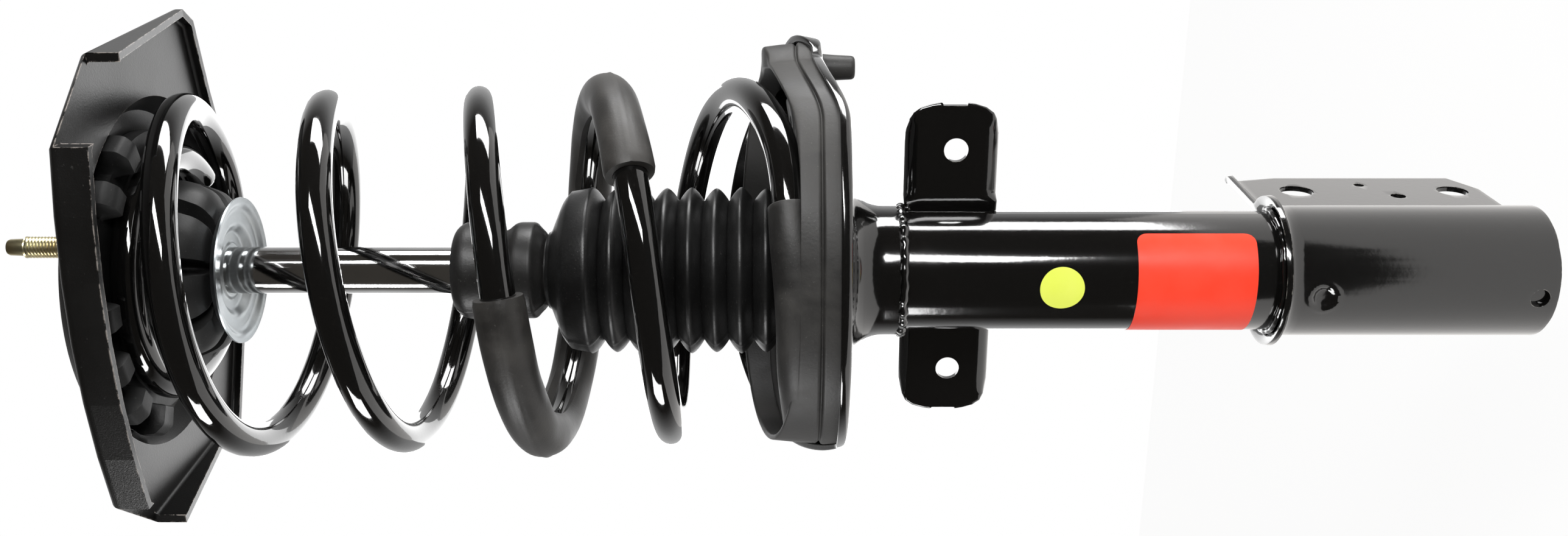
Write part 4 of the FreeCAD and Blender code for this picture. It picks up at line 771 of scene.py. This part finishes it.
def mount_rubber():
    """Domed rubber with dark slots between rounded petals."""
    profile = rounded([
        (11.1, 38.8, 0), (27.4, 38.8, 1.4), (34.0, 35.2, 7.0), (37.9, 26.5, 7.0), (38.9, 17.0, 4.0),
        (38.9, 6.2, 1.0), (36.0, 3.1, 0.8), (29.9, 3.1, 0.4), (29.9, 0.6, 0.8), (24.0, 0.5, 0.4),
        (22.9, -0.9, 0.4), (11.1, -0.9, 0)], 7)
    slot_half, petal_turn = 5.6, math.radians(45)

    def petals(radius, depth, angle):
        off = abs(math.degrees(math.remainder(angle - petal_turn / 2, petal_turn)))
        slot = max(0.0, 1 - (off / slot_half) ** 4)
        crown = 1.1 * math.cos(math.radians(off * 8.0) + math.pi)
        deep = float(ease(19.0, 13.0, depth)) if radius > 18 else 0.0
        return radius - deep * (12.0 * slot - crown), depth - 1.2 * slot * deep

    lathe("mount_rubber_dome", plain(profile), "mount_rubber", TOP, segments=288,
          wobble=petals, stands_for=("mount_rubber",), sharp=60)


def bumper_cup():
    """Stepped zinc cup with a rolled rim."""
    front = rounded([(7.15, 41.0, 0), (11.4, 41.0, 0.5), (12.6, 40.2, 0.6), (16.6, 40.4, 1.0),
                     (20.0, 43.2, 1.6), (26.0, 43.3, 1.6), (28.6, 45.2, 1.2), (31.2, 45.4, 0.6)])
    back = rounded([(31.3, 44.7, 0), (29.6, 43.2, 1.0), (27.2, 41.3, 1.2), (21.2, 41.2, 1.2),
                    (18.2, 39.05, 1.0), (7.15, 39.05, 0)])
    lathe("bumper_cup_pressing", plain(front + back), "bright_zinc", TOP, segments=160, closed=True,
          stands_for=("bumper_cup",), sharp=50)


LUGS = (210, 231, 252, 273, 316, 336)


def upper_insulator():
    """Flat rubber ring with chamfered lugs round its edge."""
    def section(bearing):
        lug = max(min(1.0, max(0.0, (5.6 - abs(bearing - at)) / 1.3)) for at in LUGS)
        return [(point.x, point.y, 0.0) for point in rounded([
            (40.6, 3.1, 0), (60.0 + 7.4 * lug, 3.1, 0.5), (60.0 + 10.9 * lug, 7.0 + 1.5 * lug, 0.8),
            (60.0 + 10.6 * lug, 9.85 + 4.5 * lug, 1.5), (60.0 + 6.5 * lug, 9.85 + 8.1 * lug, 1.5),
            (57.6 + 0.6 * lug, 9.85 + 8.1 * lug, 1.0), (57.2, 9.85, 0.6), (40.6, 9.85, 0)], 3)]

    swept_round("upper_insulator_ring", section, "mount_rubber", TOP, segments=720, sharp=35,
                stands_for=("upper_spring_insulator",))


# Brackets

def link_bracket():
    """One pressed strip: bent round the back of the tube, with a rimmed tab on each side."""
    middle, plane, half, round_tube, wall = 349.6, 11.25, 18.9, 26.75, 2.4
    reaches = (69.9, 69.3, 68.0, 66.0, 63.5, 60.5, 57.0, 53.0, 49.0, 44.0, 38.0, 33.0, 30.0, 27.5)
    path = [(reach, plane) for reach in reaches]
    arc = [math.radians(angle) for angle in range(27, 154, 9)]
    path += [(round_tube * math.cos(angle), round_tube * math.sin(angle)) for angle in arc]
    path += [(-reach, plane) for reach in reversed(reaches)]
    points = []
    for x, y in path:
        past = max(0.0, abs(x) - 56.0) / 14.0
        wide = half * (1 - 0.22 * past ** 1.6 - 0.52 * past ** 9)
        rim = 10.6 * float(ease(27.0, 5.0, abs(x)) * (1 - ease(52.0, 15.0, abs(x)))) + 0.02
        bend = min(5.0, rim)
        line = [(-wide, rim), (-wide, 0.55 * rim + 0.45 * bend)]
        line += [(-wide + bend * (1 - math.cos(turn)), bend * (1 - math.sin(turn)))
                 for turn in np.linspace(0, math.pi / 2, 6)]
        line += [((wide - bend) * share, 0.0) for share in np.linspace(-0.75, 0, 4)]
        line += [(-across, up) for across, up in reversed(line[:-1])]
        points += [(x * MM, (y + up) * MM, -(middle + across) * MM) for across, up in line]
    columns = len(points) // len(path)
    thing = piece("link_bracket_pressing", points, grid_faces(len(path), columns, close_columns=False),
                  "gloss_black_paint", LOW, stands_for=("link_bracket",))
    holes = [drill(5.15, (side * 50.6, plane, -351.1), (0, 1, 0), 14) for side in (1, -1)]
    shaped(thing, wall, holes, bevel=0.5)


def knuckle_bracket():
    """Sleeve round the tube that runs into two ears, with a lip turned out at its upper end."""
    top, end, half_gap, middle, root, tip, wall = 485.0, 598.0, 17.7, 26.7, 27, 73.0, 2.4
    side = [(half_gap, reach) for reach in (tip, 71.5, 68, 64, 60, 54, 48, 42, 36, 31, root)]
    side += plain(rounded([(half_gap, root, 0), (half_gap, 19.5, 9.0), (22.4, 14.5, 0)], 6)[1:-1])
    coarse = list(np.arange(33.0, -60.0, -4.0))
    turns = coarse + list(np.arange(-60.0, -120.0, -1.5)) + [-180.0 - turn for turn in reversed(coarse)]
    path = side + [(middle * math.cos(math.radians(turn)), middle * math.sin(math.radians(turn)))
                   for turn in turns]
    path += [(-x, y) for x, y in reversed(side)]
    path = [Vector(point) for point in path]
    outs = []
    for index, here in enumerate(path):
        along = path[min(index + 1, len(path) - 1)] - path[max(index - 1, 0)]
        across = Vector((-along.y, along.x))
        if here.y > 24:
            outs.append(Vector((math.copysign(1, here.x), 0)))
        else:
            outs.append(across.normalized() * (-1 if across.dot(here) < 0 else 1))
    stations = [(5.4, top), (4.4, 485.15), (3.2, 485.6), (2.0, 486.4), (1.0, 487.7), (0.35, 489.6),
                (0.0, 492.0)]
    levels = list(np.arange(493.0, 510.0, 1.0)) + list(np.arange(510.0, 589.0, 3.0))
    levels += [590, 592, 594, 596, end]
    stations += [(0.0, depth) for depth in levels]
    dent_bearing, dent_depth, dent_radius = -94.0, 501.2, 5.4
    points = []
    for offset, depth in stations:
        reach = min(tip, 67.0 + (depth - top) * 0.25, tip - 17.0 * max(0.0, depth - 590.0) / 8.0)
        for here, out in zip(path, outs):
            y = here.y if here.y <= root else root + (here.y - root) * (reach - root) / (tip - root)
            fade = 1 - float(ease(64.0, 6.0, y))
            place = Vector((here.x, y)) + out * offset * fade
            arc = math.radians(math.degrees(math.atan2(y, here.x)) - dent_bearing) * middle
            off = math.hypot(arc, depth - dent_depth) / dent_radius
            press = 1.9 * max(0.0, 1 - off ** 4) - 0.25 * math.exp(-((off - 1.12) / 0.13) ** 2)
            if here.y < 0:
                place -= out * press
            ragged = 0.35 * noise.noise(Vector((place.x * 0.12, place.y * 0.12, 3))) if depth >= end else 0.0
            points.append((place.x * MM, place.y * MM, -(depth - abs(ragged)) * MM))
    faces = grid_faces(len(stations), len(path), close_columns=False)
    thing = piece("knuckle_bracket_pressing", points, faces, "gloss_black_paint", LOW,
                  stands_for=("knuckle_bracket",))
    drain = math.radians(265.5)
    holes = [
        drill(7.6, (0, 53.0, -513.2), (1, 0, 0), 60),
        drill(6.9, (0, 53.0, -584.7), (1, 0, 0), 60),
        drill(2.35, (18, 62.0, -545.0), (1, 0, 0), 10, 24),
        drill(3.35, (18, 45.5, -557.0), (1, 0, 0), 10, 24),
        drill(4.0, (27 * math.cos(drain), 27 * math.sin(drain), -590.5),
              (math.cos(drain), math.sin(drain), 0), 12),
    ]
    shaped(thing, wall, holes, bevel=0.45)


def welds():
    bead("perch_weld_bead", np.arange(0, 360, 1.2), 26.9, 327.6, 1.9, ("perch_weld",), step=13.0, closed=True)
    bead("sleeve_weld_bead", np.arange(158, 382, 1.2), 26.3, 484.6, 1.15, ("bracket_weld",), lump=0.12,
         step=11.0)
    for side, name in ((24.0, "upper"), (156.0, "lower")):
        bead(f"tab_weld_{name}", np.arange(side - 7, side + 7, 0.8), 26.2, 331.2, 1.5)


# Label and sticker

FILM = 0.12


def tube_label():
    """Bare film with rounded corners, wrapped round the tube."""
    start, wrap, top, end, corner = 165.0, 162.0, 424.5, 474.0, 4.5
    radius, columns = 25.58, 90
    points = []
    depths = list(top + corner * (1 - np.cos(np.linspace(0, math.pi / 2, 7)))) \
        + list(np.linspace(top + corner, end - corner, 8)[1:-1]) \
        + list(end - corner * (1 - np.cos(np.linspace(math.pi / 2, 0, 7))))
    for depth in depths:
        past = corner - min(depth - top, end - depth, corner)
        inset = math.degrees((corner - math.sqrt(max(0.0, corner ** 2 - past ** 2))) / radius)
        for bearing in np.linspace(start + inset, start + wrap - inset, columns):
            angle = math.radians(bearing)
            points.append((radius * math.cos(angle) * MM, radius * math.sin(angle) * MM, -depth * MM))
    faces = grid_faces(len(depths), columns, close_columns=False)
    thing = piece("tube_label_film", points, faces, "red_label", LOW, stands_for=("tube_label",))
    shaped(thing, FILM)


def round_sticker():
    """Bare round film on the tube."""
    radius, depth, reach = 25.6, 393.2, 9.25
    middle = math.radians(272.9)
    points = [(radius * math.cos(middle) * MM, radius * math.sin(middle) * MM, -depth * MM)]
    rings, sides = 5, 64
    for ring in range(1, rings + 1):
        for side in range(sides):
            turn = math.tau * side / sides
            angle = middle + reach * ring / rings * math.sin(turn) / radius
            points.append((radius * math.cos(angle) * MM, radius * math.sin(angle) * MM,
                           -(depth + reach * ring / rings * math.cos(turn)) * MM))
    faces = [(0, 1 + side, 1 + (side + 1) % sides) for side in range(sides)]
    faces += grid_faces(rings, sides, start=1)
    thing = piece("round_sticker_film", points, faces, "green_sticker", LOW, stands_for=("round_sticker",))
    shaped(thing, FILM)


# Solids that keep their shape

def soften(names, width):
    """Round the edges of CAD solids that stay in view."""
    for name in names:
        thing = nodes[name]
        thing.modifiers.new("weld", "WELD").merge_threshold = 0.00001
        edge = thing.modifiers.new("edge", "BEVEL")
        edge.width = width * MM
        edge.segments = 3
        edge.limit_method = "ANGLE"
        edge.angle_limit = math.radians(35)


# Studio

def add_light(name, place, size, power, roll=(0, 0, 1)):
    """Rectangular lamp that faces the middle of the strut, with its long side along roll."""
    data = bpy.data.lights.new(name, "AREA")
    data.shape = "RECTANGLE"
    data.size, data.size_y = size
    data.energy = power
    lamp = bpy.data.objects.new(name, data)
    bpy.context.scene.collection.objects.link(lamp)
    back = (place - MIDDLE).normalized()
    side = Vector(roll)
    side = (side - back * side.dot(back)).normalized()
    other = back.cross(side)
    lamp.matrix_world = Matrix((
        (side.x, other.x, back.x, place[0]), (side.y, other.y, back.y, place[1]),
        (side.z, other.z, back.z, place[2]), (0, 0, 0, 1)))
    lamp.visible_camera = False


def add_studio():
    scene = bpy.context.scene
    scene.view_settings.view_transform = "Standard"
    world = bpy.data.worlds.new("studio")
    scene.world = world
    world.use_nodes = True
    tree = world.node_tree
    tree.nodes.clear()
    out = tree.nodes.new("ShaderNodeOutputWorld")
    white = tree.nodes.new("ShaderNodeBackground")
    white.inputs[0].default_value = (1, 1, 1, 1)
    white.inputs[1].default_value = 1.0
    room = tree.nodes.new("ShaderNodeBackground")
    direction = tree.nodes.new("ShaderNodeTexCoord")
    facing = tree.nodes.new("ShaderNodeVectorMath")
    facing.operation = "DOT_PRODUCT"
    facing.inputs[1].default_value = AWAY
    tree.links.new(direction.outputs["Generated"], facing.inputs[0])
    ramp = tree.nodes.new("ShaderNodeValToRGB")
    ramp.color_ramp.elements[0].position = 0.25
    ramp.color_ramp.elements[0].color = (0.045, 0.041, 0.036, 1)
    ramp.color_ramp.elements[1].position = 0.75
    ramp.color_ramp.elements[1].color = (0.60, 0.60, 0.60, 1)
    tree.links.new(facing.outputs["Value"], ramp.inputs[0])
    tree.links.new(ramp.outputs[0], room.inputs[0])
    path = tree.nodes.new("ShaderNodeLightPath")
    mix = tree.nodes.new("ShaderNodeMixShader")
    tree.links.new(path.outputs["Is Camera Ray"], mix.inputs[0])
    tree.links.new(room.outputs[0], mix.inputs[1])
    tree.links.new(white.outputs[0], mix.inputs[2])
    tree.links.new(mix.outputs[0], out.inputs[0])

    half, level, white_share = 0.8, -0.66, 0.88
    floor = bpy.data.meshes.new("studio_floor")
    corners = [(-half, -half, level), (half, -half, level), (half, half, level), (-half, half, level)]
    floor.from_pydata(corners, [], [(0, 1, 2, 3)])
    thing = bpy.data.objects.new("studio_floor", floor)
    scene.collection.objects.link(thing)
    n = Nodes("studio_floor")
    distance = n.add("ShaderNodeVectorMath", operation="DOT_PRODUCT")
    n.put(distance.inputs[0], n.place)
    n.put(distance.inputs[1], -AWAY)
    wavy = n.maths("ADD", distance.outputs["Value"], n.maths("MULTIPLY", n.noise(14, 4, 0.75), 0.12))
    # Painted reflection: for glossy rays only, the floor glows white near the strut and nearly black beyond,
    # though it is no lamp.
    painted_reflection_sheet = n.ramp(wavy, (0.372, (1.0, 0.98, 0.96)), (0.392, (0.05, 0.048, 0.045)))
    grain = n.noise(300, 3)
    n.set(colour=n.mix(n.maths("MULTIPLY", grain, 0.05), (0.88, 0.88, 0.87), (0.80, 0.80, 0.79)), rough=0.8)
    glow = n.add("ShaderNodeEmission")
    glow.inputs[0].default_value = (1, 1, 1, 1)
    glow.inputs[1].default_value = 1.0
    path = n.add("ShaderNodeLightPath")
    camera_mix = n.add("ShaderNodeMixShader")
    n.put(camera_mix.inputs[0], n.maths("MULTIPLY", path.outputs["Is Camera Ray"], white_share))
    n.tree.links.new(n.shader.outputs[0], camera_mix.inputs[1])
    n.tree.links.new(glow.outputs[0], camera_mix.inputs[2])
    # Glow of the painted reflection, seen only by glossy rays.
    painted_reflection_glow = n.add("ShaderNodeEmission")
    n.put(painted_reflection_glow.inputs[0], painted_reflection_sheet)
    gloss_mix = n.add("ShaderNodeMixShader")
    n.put(gloss_mix.inputs[0], path.outputs["Is Glossy Ray"])
    n.tree.links.new(camera_mix.outputs[0], gloss_mix.inputs[1])
    n.tree.links.new(painted_reflection_glow.outputs[0], gloss_mix.inputs[2])
    n.tree.links.new(gloss_mix.outputs[0], n.output.inputs["Surface"])
    floor.materials.append(n.material)

    key = MIDDLE - 0.95 * AWAY + 0.55 * UP + Vector((0, 0, 0.12))
    along = Vector((0, 0, 1)) * 0.85 + UP * 0.5
    low = MIDDLE - 1.3 * UP - 0.1 * AWAY + Vector((0, 0, 0.25))
    add_light("key_box", key, size=(0.95, 0.20), power=15, roll=along)
    add_light("top_box", MIDDLE + 1.3 * UP + 0.1 * AWAY, size=(1.2, 0.5), power=24)
    add_light("low_box", low, size=(0.9, 0.4), power=12)
    add_light("back_box", MIDDLE + 1.5 * AWAY, size=(1.6, 1.2), power=10)


add_camera()
coil_spring()
coil_sleeve()
jounce_bumper()
dust_boot()
mount_studs()
spring_perch()
seat_rubber()
seat_nub()
mount_rubber()
bumper_cup()
upper_insulator()
link_bracket()
knuckle_bracket()
welds()
tube_label()
round_sticker()
soften(("mount_plate", "upper_washer", "rod_nut"), 0.5)
add_studio()
